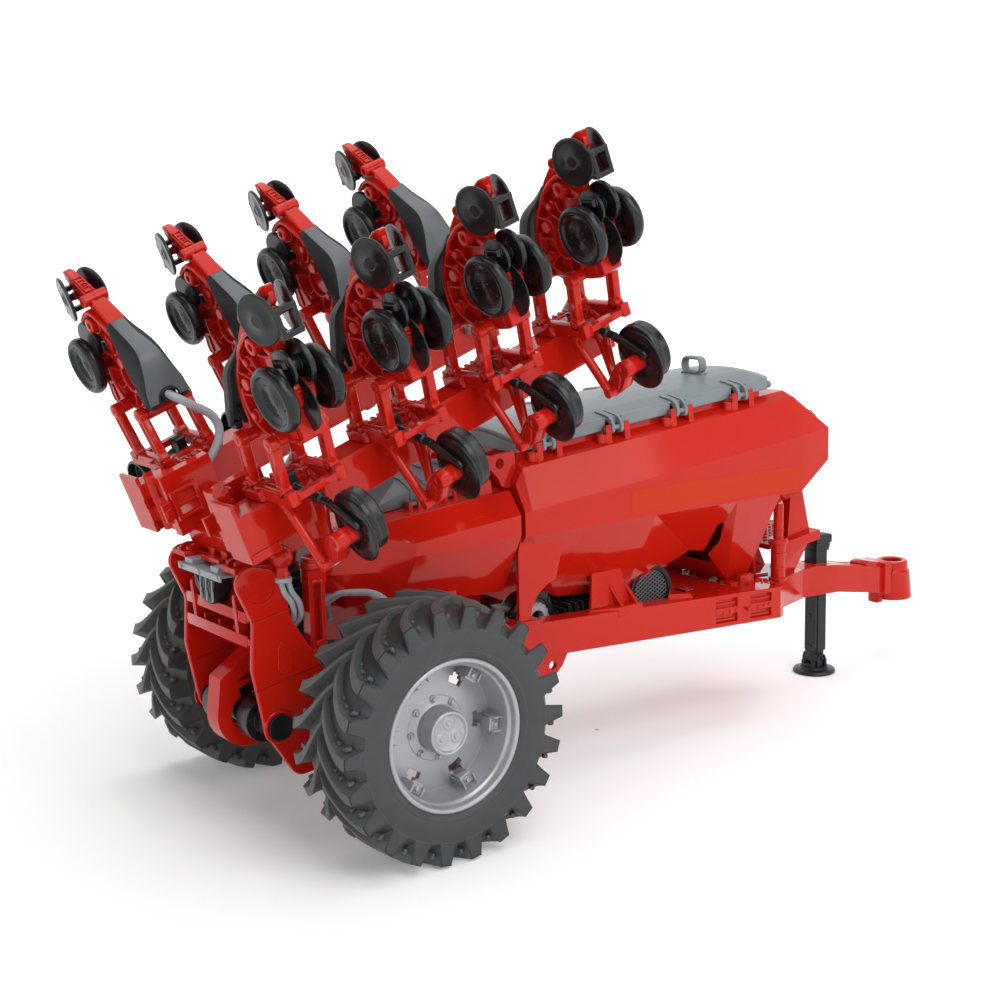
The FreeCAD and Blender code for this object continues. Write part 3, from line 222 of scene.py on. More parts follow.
def bolt(p, direction, r=1.1, high=0.9, washer=True):
    """Hexagon head on a round washer."""
    head = lathe([(r, -0.3), (r, high * 0.75), (r * 0.84, high)], p, direction, 6)
    if not washer:
        return head
    round_edge = [(r * 1.45, -0.3), (r * 1.45, 0.22), (r * 1.3, 0.36)]
    return join(head, lathe(round_edge, p, direction, 20))


def tube(points, r, n=14, steps=6):
    """Round pipe along a smooth line through the given points."""
    pts = [Vector(p) for p in points]
    ext = [pts[0] * 2 - pts[1]] + pts + [pts[-1] * 2 - pts[-2]]
    line = []
    for a, b, c, d in zip(ext, ext[1:], ext[2:], ext[3:]):
        for k in range(steps):
            t = k / steps
            line.append(0.5 * ((2 * b) + (c - a) * t + (2 * a - 5 * b + 4 * c - d) * t ** 2
                               + (3 * b - a - 3 * c + d) * t ** 3))
    line.append(pts[-1])
    s, rings = across(line[1] - line[0])[0], []
    for i, p in enumerate(line):
        d = (line[min(i + 1, len(line) - 1)] - line[max(i - 1, 0)]).normalized()
        s = (s - d * s.dot(d)).normalized()
        t = d.cross(s)
        rings.append([p + s * (r * math.cos(a)) + t * (r * math.sin(a))
                      for a in (2 * math.pi * k / n for k in range(n))])
    return loft(rings)


print("form helpers ready")

# %% [markdown]
# A lump becomes a Blender mesh here. Faces are shaded smooth, but an edge sharper than the
# given angle stays crisp. No modifier is needed, because every form already carries its
# own broken edges. Each piece is told which body it rides on, which plain solids it stands
# for, and whose finish it takes.

# %% From lump to piece
def piece(name, lump, material, body, replaces=(), sharp=32):
    mesh = bpy.data.meshes.new(name)
    mesh.from_pydata([tuple(p) for p in metres(lump[0])], [], [list(f) for f in lump[1]])
    mesh.validate()
    obj = bpy.data.objects.new(name, mesh)
    bpy.context.scene.collection.objects.link(obj)
    mesh.materials.append(material)
    mesh.polygons.foreach_set("use_smooth", [True] * len(mesh.polygons))
    mesh.set_sharp_from_angle(angle=math.radians(sharp))
    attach(obj, body)
    if replaces:
        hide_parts(*replaces)
    return obj


print("pieces can be made")

# %% [markdown]
# ## Finishes
# Nearly everything is moulded plastic. What tells one plastic from another is how glossy
# it is, how deep its grain is, and how its edges catch the light. One recipe makes them
# all: a slow noise shifts the colour a little, a second noise varies the gloss, a fine
# noise gives the grain as bump, and the Bevel node rounds every edge for the light,
# which suits moulded parts because no edge of theirs is truly sharp. Where the rounded
# normal turns from the flat one, the colour is also painted paler: a painted highlight
# along every edge.

# %% The plastic recipe
BROAD, GLOSSY = 38.0, 160.0        # scales of the slow noises for colour and for gloss
EDGE_FROM, EDGE_TO = 0.80, 0.985   # how far the rounded normal turns from sharp edge to flat face
# how much of the painted edge highlight mixes in, and the paleness it adds
EDGE_SHARE, EDGE_PALE = 0.55, 0.012


def plastic(name, colour, rough, grain=900.0, depth=0.02, edge=0.45, lift=1.25, shift=0.05,
            spread=0.05, metal=0.0, shine=0.5):
    """Moulded plastic. Rough is its roughness and spread how far that strays. Grain is per
    metre, its depth and the edge radius in mm. Lift is how much paler the edges are painted,
    a painted highlight, shift how far the colour strays, and shine the strength of its reflections."""
    mat = bpy.data.materials.new(name)
    mat.use_nodes = True
    mat.diffuse_color = (*colour, 1)
    nodes, links = mat.node_tree.nodes, mat.node_tree.links
    shader = nodes["Principled BSDF"]
    shader.inputs["Metallic"].default_value = metal
    shader.inputs["Specular IOR Level"].default_value = shine
    where = nodes.new("ShaderNodeTexCoord")

    def noise(scale, detail=3.0):
        n = nodes.new("ShaderNodeTexNoise")
        n.inputs["Scale"].default_value = scale
        n.inputs["Detail"].default_value = detail
        links.new(where.outputs["Object"], n.inputs["Vector"])
        return n.outputs["Fac"]

    def spread_over(value, low_out, high_out, low_in=0.3, high_in=0.7):
        m = nodes.new("ShaderNodeMapRange")
        for key, v in (("From Min", low_in), ("From Max", high_in),
                       ("To Min", low_out), ("To Max", high_out)):
            m.inputs[key].default_value = v
        links.new(value, m.inputs["Value"])
        return m.outputs["Result"]

    def mixed(factor, a, b):
        m = nodes.new("ShaderNodeMix")
        m.data_type = "RGBA"
        links.new(factor, m.inputs["Factor"])
        for key, v in (("A", a), ("B", b)):
            socket = [s for s in m.inputs if s.name == key and s.type == "RGBA"][0]
            if isinstance(v, tuple):
                socket.default_value = (*v, 1)
            else:
                links.new(v, socket)
        return [s for s in m.outputs if s.type == "RGBA"][0]

    shade = tuple(c * (1 - shift) for c in colour)
    tint = tuple(min(1.0, c * (1 + shift)) for c in colour)
    base = mixed(spread_over(noise(BROAD), 0, 1), shade, tint)
    rounded_normal = nodes.new("ShaderNodeBevel")
    rounded_normal.samples = 4
    rounded_normal.inputs["Radius"].default_value = edge / 1000
    true_normal = nodes.new("ShaderNodeNewGeometry")
    dot = nodes.new("ShaderNodeVectorMath")
    dot.operation = "DOT_PRODUCT"
    links.new(rounded_normal.outputs["Normal"], dot.inputs[0])
    links.new(true_normal.outputs["Normal"], dot.inputs[1])
    # painted highlight: paler colour mixes in where the rounded normal turns from the true one, at the
    # edges
    painted_edge_highlight = spread_over(dot.outputs["Value"], EDGE_SHARE, 0.0, EDGE_FROM, EDGE_TO)
    pale = tuple(min(1.0, c * lift + EDGE_PALE * lift) for c in colour)
    links.new(mixed(painted_edge_highlight, base, pale), shader.inputs["Base Color"])
    gloss = spread_over(noise(GLOSSY, 4.0), max(0.03, rough - spread), rough + spread)
    links.new(gloss, shader.inputs["Roughness"])
    bump = nodes.new("ShaderNodeBump")
    bump.inputs["Distance"].default_value = depth / 1000
    bump.inputs["Strength"].default_value = 0.6
    links.new(noise(grain, 4.0), bump.inputs["Height"])
    links.new(rounded_normal.outputs["Normal"], bump.inputs["Normal"])
    links.new(bump.outputs["Normal"], shader.inputs["Normal"])
    return mat


# Each lift below sets how much paler the painted edge highlight is.
RED = plastic("glossy_red", (0.46, 0.0100, 0.0042), 0.08, grain=500, depth=0.004, lift=1.40,
              shift=0.02, spread=0.02, shine=0.30)
RED.node_tree.nodes["Principled BSDF"].inputs["Specular Tint"].default_value = (1.0, 0.88, 0.82, 1)
GREY = plastic("lid_grey", (0.165, 0.192, 0.205), 0.36, edge=0.6, lift=1.3)
DARK = plastic("hood_dark_grey", (0.090, 0.098, 0.106), 0.42, grain=2600, depth=0.10, edge=0.6,
               lift=1.5, metal=0.3)
# A darker copy of the hood's finish for its side faces: painted shade on the sides.
HOOD_SIDE_SHADE = plastic("hood_side_painted_shade", (0.013, 0.0135, 0.014), 0.5, grain=2600, depth=0.06,
                    edge=0.4, lift=2.0, shine=0.25)
JACK_GREY = plastic("jack_dark_grey", (0.009, 0.0105, 0.0125), 0.36, grain=1500, depth=0.03,
                    edge=0.5, lift=2.6, shine=0.35)
BLACK = plastic("satin_black", (0.0085, 0.009, 0.010), 0.24, depth=0.01, edge=0.5, lift=4.0,
                shine=0.36)
LIGHT = plastic("hose_grey", (0.29, 0.305, 0.325), 0.32, depth=0.015, edge=0.4, lift=1.15)
SILVER = plastic("rim_silver", (0.36, 0.37, 0.385), 0.34, grain=1800, lift=1.3, metal=0.5)
RUBBER = plastic("tyre_rubber", (0.030, 0.0315, 0.033), 0.48, grain=2200, depth=0.03, edge=0.5,
                 lift=2.2, spread=0.1)
# A paler copy of the tyre rubber for the lugs and studs: painted light on the tread.
TREAD_LIT = plastic("tread_rubber_painted_light", (0.066, 0.067, 0.066), 0.5, grain=2200, depth=0.05, edge=0.6,
                lift=1.9, spread=0.1)
MESH_GREY = plastic("fan_mesh_grey", (0.10, 0.105, 0.11), 0.4, grain=1500, edge=0.1, lift=1.4)
STICKER = plastic("sticker_orange_red", (0.47, 0.026, 0.004), 0.22, grain=600, depth=0.002,
                  edge=0.1, lift=1.0, shift=0.01, spread=0.01, shine=0.15)
# Near-black finish for the disc behind the fan mesh: painted shade.
SHADOW = plastic("fan_inlet_painted_shade", (0.006, 0.006, 0.006), 0.7, edge=0.2, lift=1.0)
print("recipes mixed:", len([m for m in bpy.data.materials if m.use_nodes]))

# %% [markdown]
# The frame's own solids carry slots with plain names. Each slot gets its real finish here,
# so a solid whose shape is already right needs nothing else.

# %% Finishes for the frame's own solids
FINISH = {"red_plastic": RED, "lid_grey": GREY, "dark_grey": DARK, "black_plastic": BLACK,
          "hose_grey": LIGHT, "rim_silver": SILVER, "tyre_rubber": RUBBER}
for part in frame["record"]["subparts"]:
    for place in frame["nodes"][part["node"]].material_slots:
        place.material = FINISH[part["material_slot"]]
print("finishes made:", ", ".join(sorted(FINISH)))

# %% [markdown]
# ## Tyres
# The tyre is a soft rubber moulding: a flat side wall whose rim breaks into teeth, and a
# tread of curved lugs that start wide at the shoulder and sweep to a narrow point past the
# middle, left and right lugs taking turns. The carcass is lathe work. Each lug is a loft of
# trapezoids along its own curve, so its crest stays crisp where a height map would smear.
# Between the lugs sit a long stud and two round ones.

# %% One tyre lying across Y, its middle at zero
LUGS = 22
HALF_TYRE = TYRE_W / 2
LUG_SWEEP, LUG_ROUND = 17.5, 47.0  # how far a lug runs round the tyre, and at which radius


def carcass():
    """The smooth tyre: side walls with their rim step, crown, and a hollow inside."""
    half = HALF_TYRE
    wall = [(RIM_R - 0.4, half - 3.2), (RIM_R, half - 1.6), (30.2, half - 0.75),
            (31.4, half - 0.35), (31.9, half - 0.5), (32.4, half - 0.3), (36.0, half - 0.06),
            (39.0, half - 0.12), (39.9, half - 0.16), (40.3, half - 0.6)]
    crown = [(41.9, half - 2.1), (43.6, half - 4.4), (44.9, half - 7.6), (45.7, half - 11.0),
             (46.0, half - 15), (46.0, 0)]
    right = wall + crown
    profile = right + [(r, -y) for r, y in reversed(right[:-1])]
    inside = [(RIM_R - 0.4, -half + 3.2), (RIM_R + 2.5, -half + 6), (RIM_R + 2.5, half - 6),
              (RIM_R - 0.4, half - 3.2)]
    return lathe(profile + inside, (0, 0, 0), (0, 1, 0), 132, caps=False)


def lug_ring(t, sweep, top, base, foot):
    """Trapezoid across a lug as (radius, angle, y): t is the share of its length, foot the
    radius it stands on, top and base its half widths."""
    y = HALF_TYRE - 0.12 - t * (HALF_TYRE + 0.8)
    a = sweep * LUG_SWEEP / LUG_ROUND
    drop = 0.55 * max(0.0, 1 - t * 5) + 1.4 * max(0.0, (t - 0.86) / 0.17) ** 2
    crest = TYRE_R - 0.06 - drop - 0.00045 * y * y
    middle, waist = (crest + foot) / 2, (top + base) * 0.47 / crest
    return [(foot, -base / foot + a, y), (middle, -waist + a, y), (crest, -top / crest + a, y),
            (crest, top / crest + a, y), (middle, waist + a, y), (foot, base / foot + a, y)]


LUG_RINGS = [lug_ring(*row) for row in (
    (0.00, 0.00, 2.25, 3.9, 39.6), (0.10, 0.02, 2.1, 3.5, 41.0), (0.22, 0.07, 1.9, 3.0, 43.0),
    (0.36, 0.16, 1.7, 2.6, 44.3), (0.50, 0.29, 1.55, 2.4, 45.0), (0.64, 0.46, 1.45, 2.25, 45.0),
    (0.78, 0.66, 1.3, 2.1, 45.0), (0.90, 0.86, 1.15, 1.9, 45.0), (1.00, 1.04, 0.7, 1.4, 45.0),
    (1.03, 1.12, 0.3, 0.9, 45.0))]


def studs(turn, hand):
    """One long stud and two round ones in the gap beside a lug."""
    lumps = []
    for along, side, long_stud in ((0.20, 0.50, True), (0.42, 0.62, False), (0.60, 0.80, False)):
        y = HALF_TYRE - along * HALF_TYRE
        swept = (0.04 + 0.30 * along ** 1.7) * LUG_SWEEP / LUG_ROUND
        a = turn - (side * 2 * math.pi / LUGS * 0.5 + swept)
        r = 45.2 if long_stud else 45.9
        ends = [(r * math.cos(a + d / 90), hand * (y - d * 0.8), r * math.sin(a + d / 90))
                for d in ((-1.1, 1.1) if long_stud else (0.0,))]
        out = (math.cos(a), 0.25 * hand, math.sin(a))
        lumps += [lathe([(0.95, -1.2), (0.9, 0.35), (0.6, 0.7)], e, out, 12) for e in ends]
        if long_stud:
            lumps.append(bar(*ends, 1.7, 1.25, 0.3))
    return lumps


def tyre_lump():
    """The walls with the teeth on their rims, and the tread as a lump of its own."""
    walls, tread = [carcass()], []
    low, top = 40.2, TYRE_R - 0.95
    lip = [(low, -3.7 / low), (43.4, -2.95 / 43.4), (top, -2.05 / top), (top, 2.05 / top),
           (43.4, 2.95 / 43.4), (low, 3.7 / low)]
    for hand in (-1, 1):
        for i in range(LUGS):
            turn = 2 * math.pi * (i + (0.5 if hand > 0 else 0)) / LUGS
            rings = [[(r * math.cos(turn - a), hand * y, r * math.sin(turn - a))
                      for r, a, y in ring] for ring in LUG_RINGS]
            cut = [tuple(p + (q - p) * 0.2 for p, q in zip(a, b)) for a, b in zip(*rings[:2])]
            lug, tooth = loft([cut] + rings[1:]), loft([rings[0], cut])
            if hand < 0:
                lug, tooth = ((v, [tuple(reversed(f)) for f in fs]) for v, fs in (lug, tooth))
            edge = [(r * math.cos(turn - a), hand * (HALF_TYRE - 0.34), r * math.sin(turn - a))
                    for r, a in lip]
            tread.append(lug)
            walls += [tooth, tube(edge, 0.3, 6, 1)]
            tread += studs(turn, hand)
    return join(*walls), join(*tread)


def wheel_place(hand, out):
    """Matrix that stands a wheel's lump on its axle, its outer side turned outwards."""
    return Matrix.Translation((0, hand * out, TYRE_R)) @ Matrix.Diagonal((1, -hand, 1, 1))


one_tyre, one_tread = tyre_lump()
for name, hand in SIDES:
    there, body = wheel_place(hand, TRACK_OUT - HALF_TYRE), "wheel_" + name
    piece("tyre_%s_rubber" % name, moved(one_tyre, there), RUBBER, body,
          ["tyre_" + name], 34)
    # the tread takes the paler copy of the rubber, painted light
    piece("tread_%s_rubber" % name, moved(one_tread, there), TREAD_LIT, body, (), 34)
print("tyres:", LUGS * 2, "lugs each,", len(one_tyre[1]) + len(one_tread[1]), "faces")

# %% [markdown]
# ## Rims
# The rim is silvered plastic: a rounded bead, a deep barrel, and at its bottom a dished
# disc with six windows, a clamp bracket beside each, eight bolts round a plain hub and a
# cap with a raised lip and three small lobes. The windows are real holes, made by leaving
# faces out of a ring of faces instead of cutting, which keeps the mesh clean.

# %% One rim, its face at zero, depth running inward
DISH_RADII = (24.6, 22.3, 19.9, 17.4, 15.0, 12.2)
DISH_STEPS = 96                    # faces round the dish, sixteen to a window


def turned(profile, n=DISH_STEPS):
    return lathe(profile, (0, 0, 0), (0, 1, 0), n, caps=False)


def is_window(i, j):
    """Whether the face in row i, j steps round, is left out for a window."""
    step = (j + 3) % 16
    return i in (1, 2) and step < 5 and not (i == 1 and step in (0, 4))


def dish():
    """Ring of faces, front and back, with windows left out and their walls closed."""
    n, rows = DISH_STEPS, len(DISH_RADII)
    back = rows * n
    verts = [(r * math.cos(2 * math.pi * j / n), 16.2 - 1.4 * (24.6 - r) / 12.6 + thick,
              r * math.sin(2 * math.pi * j / n))
             for thick in (0.0, 2.2) for r in DISH_RADII for j in range(n)]
    faces = []
    for side in (0, 1):
        for i in range(rows - 1):
            for j in range(n):
                if is_window(i, j):
                    continue
                a = side * back + i * n + j
                b = side * back + i * n + (j + 1) % n
                faces.append((a, b, b + n, a + n) if side else (b, a, a + n, b + n))
    for i in range(rows - 1):
        for j in range(n):
            if not is_window(i, j):
                continue
            here, after = i * n + j, i * n + (j + 1) % n
            for (di, dj), p, q in (((0, -1), here, here + n), ((0, 1), after, after + n),
                                   ((-1, 0), here, after), ((1, 0), here + n, after + n)):
                if not is_window(i + di, (j + dj) % n):
                    faces.append((p, q, q + back, p + back))
    return verts, faces


def rim_lump():
    bead = turned([(RIM_R + 0.2, 2.6), (RIM_R, 1.6), (28.7, 1.15), (28.2, 0.95), (27.6, 1.0),
                   (27.2, 1.35), (26.9, 2.2), (26.6, 3.4), (26.3, 4.0), (25.8, 4.25),
                   (25.5, 4.7), (25.3, 6.0), (25.0, 15.2), (24.6, 16.2)])
    back = turned([(24.6, 18.4), (25.6, 17.6), (25.7, 30.0), (26.2, 33.0), (RIM_R + 0.2, 33.5),
                   (RIM_R + 0.2, 2.6)])
    hub = turned([(12.4, 15.2), (12.2, 14.6), (9.4, 14.3), (8.75, 13.9), (8.6, 13.0), (8.5, 6.2),
                  (8.2, 5.5), (7.6, 5.2), (7.1, 5.4), (6.8, 6.1), (6.5, 6.3), (0.01, 6.3)], 64)
    lumps = [bead, back, dish(), hub, turned([(13.0, 17.5), (13.0, 20.0), (4.1, 20.0)], 64)]
    for k in range(3):
        a = math.radians(90 + 120 * k)
        lobe = [(2.5, 0.3), (2.35, -0.45), (2.0, -0.6), (1.1, -0.35), (0.9, -0.85), (0.5, -1.0)]
        lumps.append(lathe(lobe, (3.7 * math.cos(a), 6.5, 3.7 * math.sin(a)), (0, 1, 0), 24))
    for k in range(8):
        a = math.radians(5 + 45 * k)
        lumps.append(bolt((11.2 * math.cos(a), 14.5, 11.2 * math.sin(a)), (0, -1, 0), 0.95, 1.3))
    clamp = join(block(21.0, 25.2, 9.8, 16.2, -2.1, 2.1, 0.3),
                 block(20.6, 24.9, 9.2, 9.9, -2.6, 2.6, 0.2),
                 *[block(21.5, 25.1, 7.6, 15.8, z, z + 0.8, 0.2) for z in (-3.0, 2.2)],
                 bolt((22.9, 9.3, 0), (0, -1, 0), 1.05, 1.3))
    lumps += [moved(clamp, Matrix.Rotation(math.radians(5 - 60 * k), 4, "Y")) for k in range(6)]
    return join(*lumps)


one_rim = rim_lump()
for name, hand in SIDES:
    there = wheel_place(hand, TRACK_OUT)
    piece("rim_%s_silver" % name, moved(one_rim, there), SILVER, "wheel_" + name,
          ["rim_" + name], 40)
print("rims:", len(one_rim[1]), "faces, 6 windows and 8 hub bolts each")

# %% [markdown]
# ## Row units
# Eight row units hang on the two wings, all of one hand. Each is drawn once in its own
# frame: a runs rearward in work, b sideways, h up from the ground it would work. A matrix
# stands it where the folded wing holds it, so one drawing serves all eight.

# %% Where a unit stands
U_DIR = Vector((math.cos(REST), 0, math.sin(REST)))
N_DIR = Vector((-math.sin(REST), 0, math.cos(REST)))


def unit_place(hand, along):
    """Matrix from a unit's frame to the toy's, hand -1 right and 1 left."""
    a, b, h = N_DIR, U_DIR * -hand, Vector((0, -hand, 0))
    o = N_DIR * GAUGE_N + U_DIR * along + Vector((0, hand * GROUND_Y, 0))
    return Matrix(((a.x, b.x, h.x, o.x), (a.y, b.y, h.y, o.y), (a.z, b.z, h.z, o.z), (0, 0, 0, 1)))


def four_times(lump, hand):
    return join(*[moved(lump, unit_place(hand, UNIT_U + k * ROW_PITCH)) for k in range(ROWS)])


def on_wings(*kinds):
    """Four of each kind on both wings. A kind is its label, lump, material, slot, the node
    it stands for or nothing, and the angle past which its edges stay sharp."""
    for name, hand in SIDES:
        for label, lump, material, slot, stands_for, sharp in kinds:
            hidden = [stands_for + name] if stands_for else ()
            piece(label + name, four_times(lump, hand), material, "wing_" + name, hidden, sharp)


def disc(a, h, profile, n=48, b=0.0):
    """Turned form about a unit's own cross line, profile of (radius, b)."""
    return lathe([(max(r, 0.01), t) for r, t in profile], (a, b, h), (0, 1, 0), n)


def smooth_line(points, steps=3):
    """More stations between given ones, on a smooth curve through them."""
    pts = [np.array(p, float) for p in points]
    ext = [2 * pts[0] - pts[1]] + pts + [2 * pts[-1] - pts[-2]]
    out = []
    for p0, p1, p2, p3 in zip(ext, ext[1:], ext[2:], ext[3:]):
        for k in range(steps):
            t = k / steps
            out.append(0.5 * (2 * p1 + (p2 - p0) * t + (2 * p0 - 5 * p1 + 4 * p2 - p3) * t * t
                              + (3 * p1 - p0 - 3 * p2 + p3) * t ** 3))
    return out + [pts[-1]]


print("units stand on the folded wings")

# %% [markdown]
# The hood is a thin dark cover, narrow where the tail arm leaves it and widest at the
# toolbar end, with a round notch for the hose. Its grid of corners is bent to the notch
# instead of being cut, so the lip round the notch stays smooth.

# %% Hoods
def hood_lump():
    """The cover, and its sides with the lip and socket, as two lumps, so the sides can take a darker
    finish of painted shade. A station is its place, the height of its top, the depth of its sides and
    its half width."""
    stations = smooth_line([(17.2, 36.6, 1.4, 3.7), (14.8, 39.6, 2.7, 4.7), (12.0, 43.6, 4.4, 5.7),
                            (9.2, 48.4, 6.2, 6.7), (6.6, 52.2, 7.6, 7.4), (3.4, 54.6, 8.2, 7.9),
                            (-1.0, 55.7, 7.6, 8.3), (-5.5, 56.3, 6.2, 8.7), (-10.0, 56.7, 4.4, 9.1),
                            (-14.6, 57.0, 2.2, 9.5)], 3)
    notch, wall = 4.3, 1.1
    across_top = (-0.8, -0.6, -0.47, -0.4, -0.3, -0.15, 0, 0.15, 0.3, 0.4, 0.47, 0.6, 0.8)
    grids = []
    for inner in (0, 1):
        rows = []
        for i, (a, top, deep, half) in enumerate(stations):
            w = half - wall * inner
            share = i / (len(stations) - 1)
            t = max(0.0, (share - 0.5) / 0.5)
            pull = t * t * (3 - 2 * t)          # the last rows bend to the notch
            tuck = 2.7 * math.sin(math.pi * min(1.0, 1.15 * i / (len(stations) - 1)))
            cols = [(-w - 0.25, deep + 0.5), (-w - 0.1 + tuck * 0.45, deep * 0.5),
                    (-w + 0.2 + tuck * 0.9, 0.95), (-w + 0.75 + tuck, 0.2)]
            cols += [((w - 0.9 - tuck) * u, 0.0) for u in across_top]
            cols += [(-b, d) for b, d in reversed(cols[:4])]
            row = []
            for b, d in cols:
                crown = 0.35 * (1 - (b / half) ** 2)
                back = math.sqrt(max(0.0, notch ** 2 - b * b)) * pull
                row.append((a + back, b, top + crown - d - wall * inner))
            rows.append(row)
        grids.append(rows)
    n, m = len(grids[0][0]), len(stations)
    verts = [p for rows in grids for row in rows for p in row]
    faces = []
    for g in (0, 1):
        for i in range(m - 1):
            for j in range(n - 1):
                a = g * n * m + i * n + j
                q = [a, a + 1, a + n + 1, a + n]
                faces.append(tuple(q if g else reversed(q)))
    edge = [(0, j) for j in range(n)] + [(i, n - 1) for i in range(1, m)]
    edge += [(m - 1, j) for j in range(n - 2, -1, -1)] + [(i, 0) for i in range(m - 2, 0, -1)]
    for (i, j), (k, l) in zip(edge, edge[1:] + edge[:1]):
        faces.append((i * n + j, k * n + l, n * m + k * n + l, n * m + i * n + j))

    def on_side(face):
        return all(v % n <= 3 or v % n >= n - 4 for v in face)

    side = [f for f in faces if on_side(f)]
    cover = [f for f in faces if not on_side(f)]
    lip = [(-14.4 + math.sqrt(max(0, 4.5 ** 2 - b * b)) + 0.1, b, 57.1)
           for b in (4.5 * math.cos(math.pi * k / 16) for k in range(17))]
    feet = [block(-16.2, -13.6, b - 1.3, b + 1.3, 52.2, 56.6, 0.3) for b in (-7.2, 7.2)]
    socket = [block(-15.8, -9.4, -4.3, 4.3, 53.6, 55.0, 0.4),
              lathe([(2.0, -1.0), (2.9, -0.6), (2.9, 1.2), (2.5, 1.6), (2.0, 1.2)],
                    (-12.6, 0, 55.0), (-0.1, 0, 1), 24)]
    return join((verts, cover)), join((verts, side), tube(lip, 0.45, 8, 2), *feet, *socket)


one_hood, hood_sides = hood_lump()
# The sides take the darker copy of the hood's finish: painted shade on the side faces.
on_wings(("hoods_", one_hood, DARK, "dark_grey", "unit_hoods_", 38),
         ("hood_sides_", hood_sides, HOOD_SIDE_SHADE, "dark_grey", None, 38))
print("hoods:", ROWS * 2, "covers,", len(one_hood[1]), "faces each")

# %% [markdown]
# The gauge wheels are pairs of small black wheels with a fat rounded tread, a deep dish
# and a scatter of moulding pips. They are pure lathe work. Each pair spins, so each pair
# is a piece of its own on its own body.

# %% Gauge wheels
def gauge_lump():
    outer = [(0, 1.15), (2.6, 1.15), (2.9, 0.95), (6.4, 0.85), (6.9, 0.7), (7.1, 0.75), (7.4, 0.95),
             (8.3, 1.15), (8.8, 1.5), (9.15, 2.2), (9.5, 2.42), (10.2, 2.55), (10.9, 2.3),
             (11.45, 1.75), (11.82, 0.95), (11.98, 0.15)]
    inner = [(r, -t) for r, t in reversed(outer[:-1])]
    lumps = [rod((0, -GAUGE_B, GAUGE_H), (0, GAUGE_B, GAUGE_H), 1.5)]
    for s in (-1, 1):
        profile = [(r, s * t) for r, t in outer + inner]
        lumps.append(disc(0, GAUGE_H, profile, 64, s * GAUGE_B))
        for k in range(5):
            turn = 2 * math.pi * k / 5 + 0.4
            for r, size in ((6.0, 0.26), (2.1, 0.24)):
                p = (r * math.cos(turn), s * (GAUGE_B + 0.8), GAUGE_H + r * math.sin(turn))
                pip = [(size, 0), (size * 0.9, 0.4), (size * 0.4, 0.55)]
                lumps.append(lathe(pip, p, (0, s, 0), 8))
    return join(*lumps)


one_gauge = gauge_lump()
for name, hand in SIDES:
    for k in range(ROWS):
        tag, there = "%s_%d" % (name, k + 1), unit_place(hand, UNIT_U + k * ROW_PITCH)
        piece("gauge_pair_" + tag, moved(one_gauge, there), BLACK, "gauge_" + tag,
              ["gauge_wheels_" + tag], 45)
print("gauge wheels:", ROWS * 4)

# %% [markdown]
# Behind them ride two closing discs that lean apart like a V, tied by a small open frame,
# and between the gauge wheels turns the seed opener with a press shield on each side and
# a short stout pin. Both are satin black.

# %% Closing discs and openers
CLOSER_A, CLOSER_LEAN = 27.1, 13   # place of their axle, and each disc's lean in degrees


def closer_lump():
    face = [(0, -0.8), (8.6, -0.85), (9.25, -0.4), (9.3, 0.1), (9.0, 0.5), (8.6, 0.62), (8.0, 0.5),
            (3.0, 0.62), (2.6, 0.95), (2.3, 1.0), (2.0, 0.72), (0, 0.72)]
    lumps = []
    for s in (-1, 1):
        one = disc(0, 0, [(r, s * t) for r, t in face], 64)
        lean = Matrix.Rotation(math.radians(-CLOSER_LEAN * s), 4, "X")
        lumps.append(moved(one, Matrix.Translation((CLOSER_A, s * 5.9, 9.9)) @ lean))
        lumps.append(rod((CLOSER_A, s * 2.6, 9.7), (CLOSER_A, s * 5.6, 9.8), 1.5, 20))
    for a0, a1 in ((19.6, 21.6), (28.4, 30.4)):
        lumps.append(block(a0, a1, -4.4, 4.4, 0.7, 3.4, 0.4))
    for b in (-4.2, 2.6):
        lumps.append(block(19.8, 30.2, b, b + 1.6, 0.5, 3.1, 0.4))
    return join(*lumps)


def opener_lump():
    blade = disc(-5, 14, [(0, -1.0), (6, -1.0), (6.4, -0.8), (10.6, -0.5), (11.2, -0.15),
                          (11.2, 0.15), (10.6, 0.5), (6.4, 0.8), (6, 1.0), (0, 1.0)], 64)
    shield = disc(8.6, 10.6, [(0, 2.4), (7.6, 2.4), (8.0, 2.8), (8.0, 4.2), (7.6, 4.6), (0, 4.7)])
    near = disc(8.6, 10.6, [(0, -2.2), (6.4, -2.2), (6.8, -2.5), (6.8, -3.4), (6.4, -3.7),
                            (0, -3.8)])
    pin = block(9.6, 12.2, -5.9, -3.6, 5.6, 12.6, 0.7)
    seat = rod((8.6, -2.4, 10.6), (8.6, 2.6, 10.6), 2.6, 24)
    return join(blade, shield, near, pin, seat)


one_closer, one_opener = closer_lump(), opener_lump()
on_wings(("closers_", one_closer, BLACK, "black_plastic", "closing_discs_", 40),
         ("openers_", one_opener, BLACK, "black_plastic", "opener_discs_", 40))
print("closing discs:", ROWS * 4, "and openers:", ROWS * 2)

# %% [markdown]
# The red casting that carries all this is a thin web stiffened by flanges, ribs and a
# drum wall, as such mouldings are. A ribbon, a flat strip that follows a smooth line, is
# the natural tool: one for each flange and rib. Where ribbons run into each other nothing
# is cut, because the Bevel node in the finish rounds the inner corners for the light.

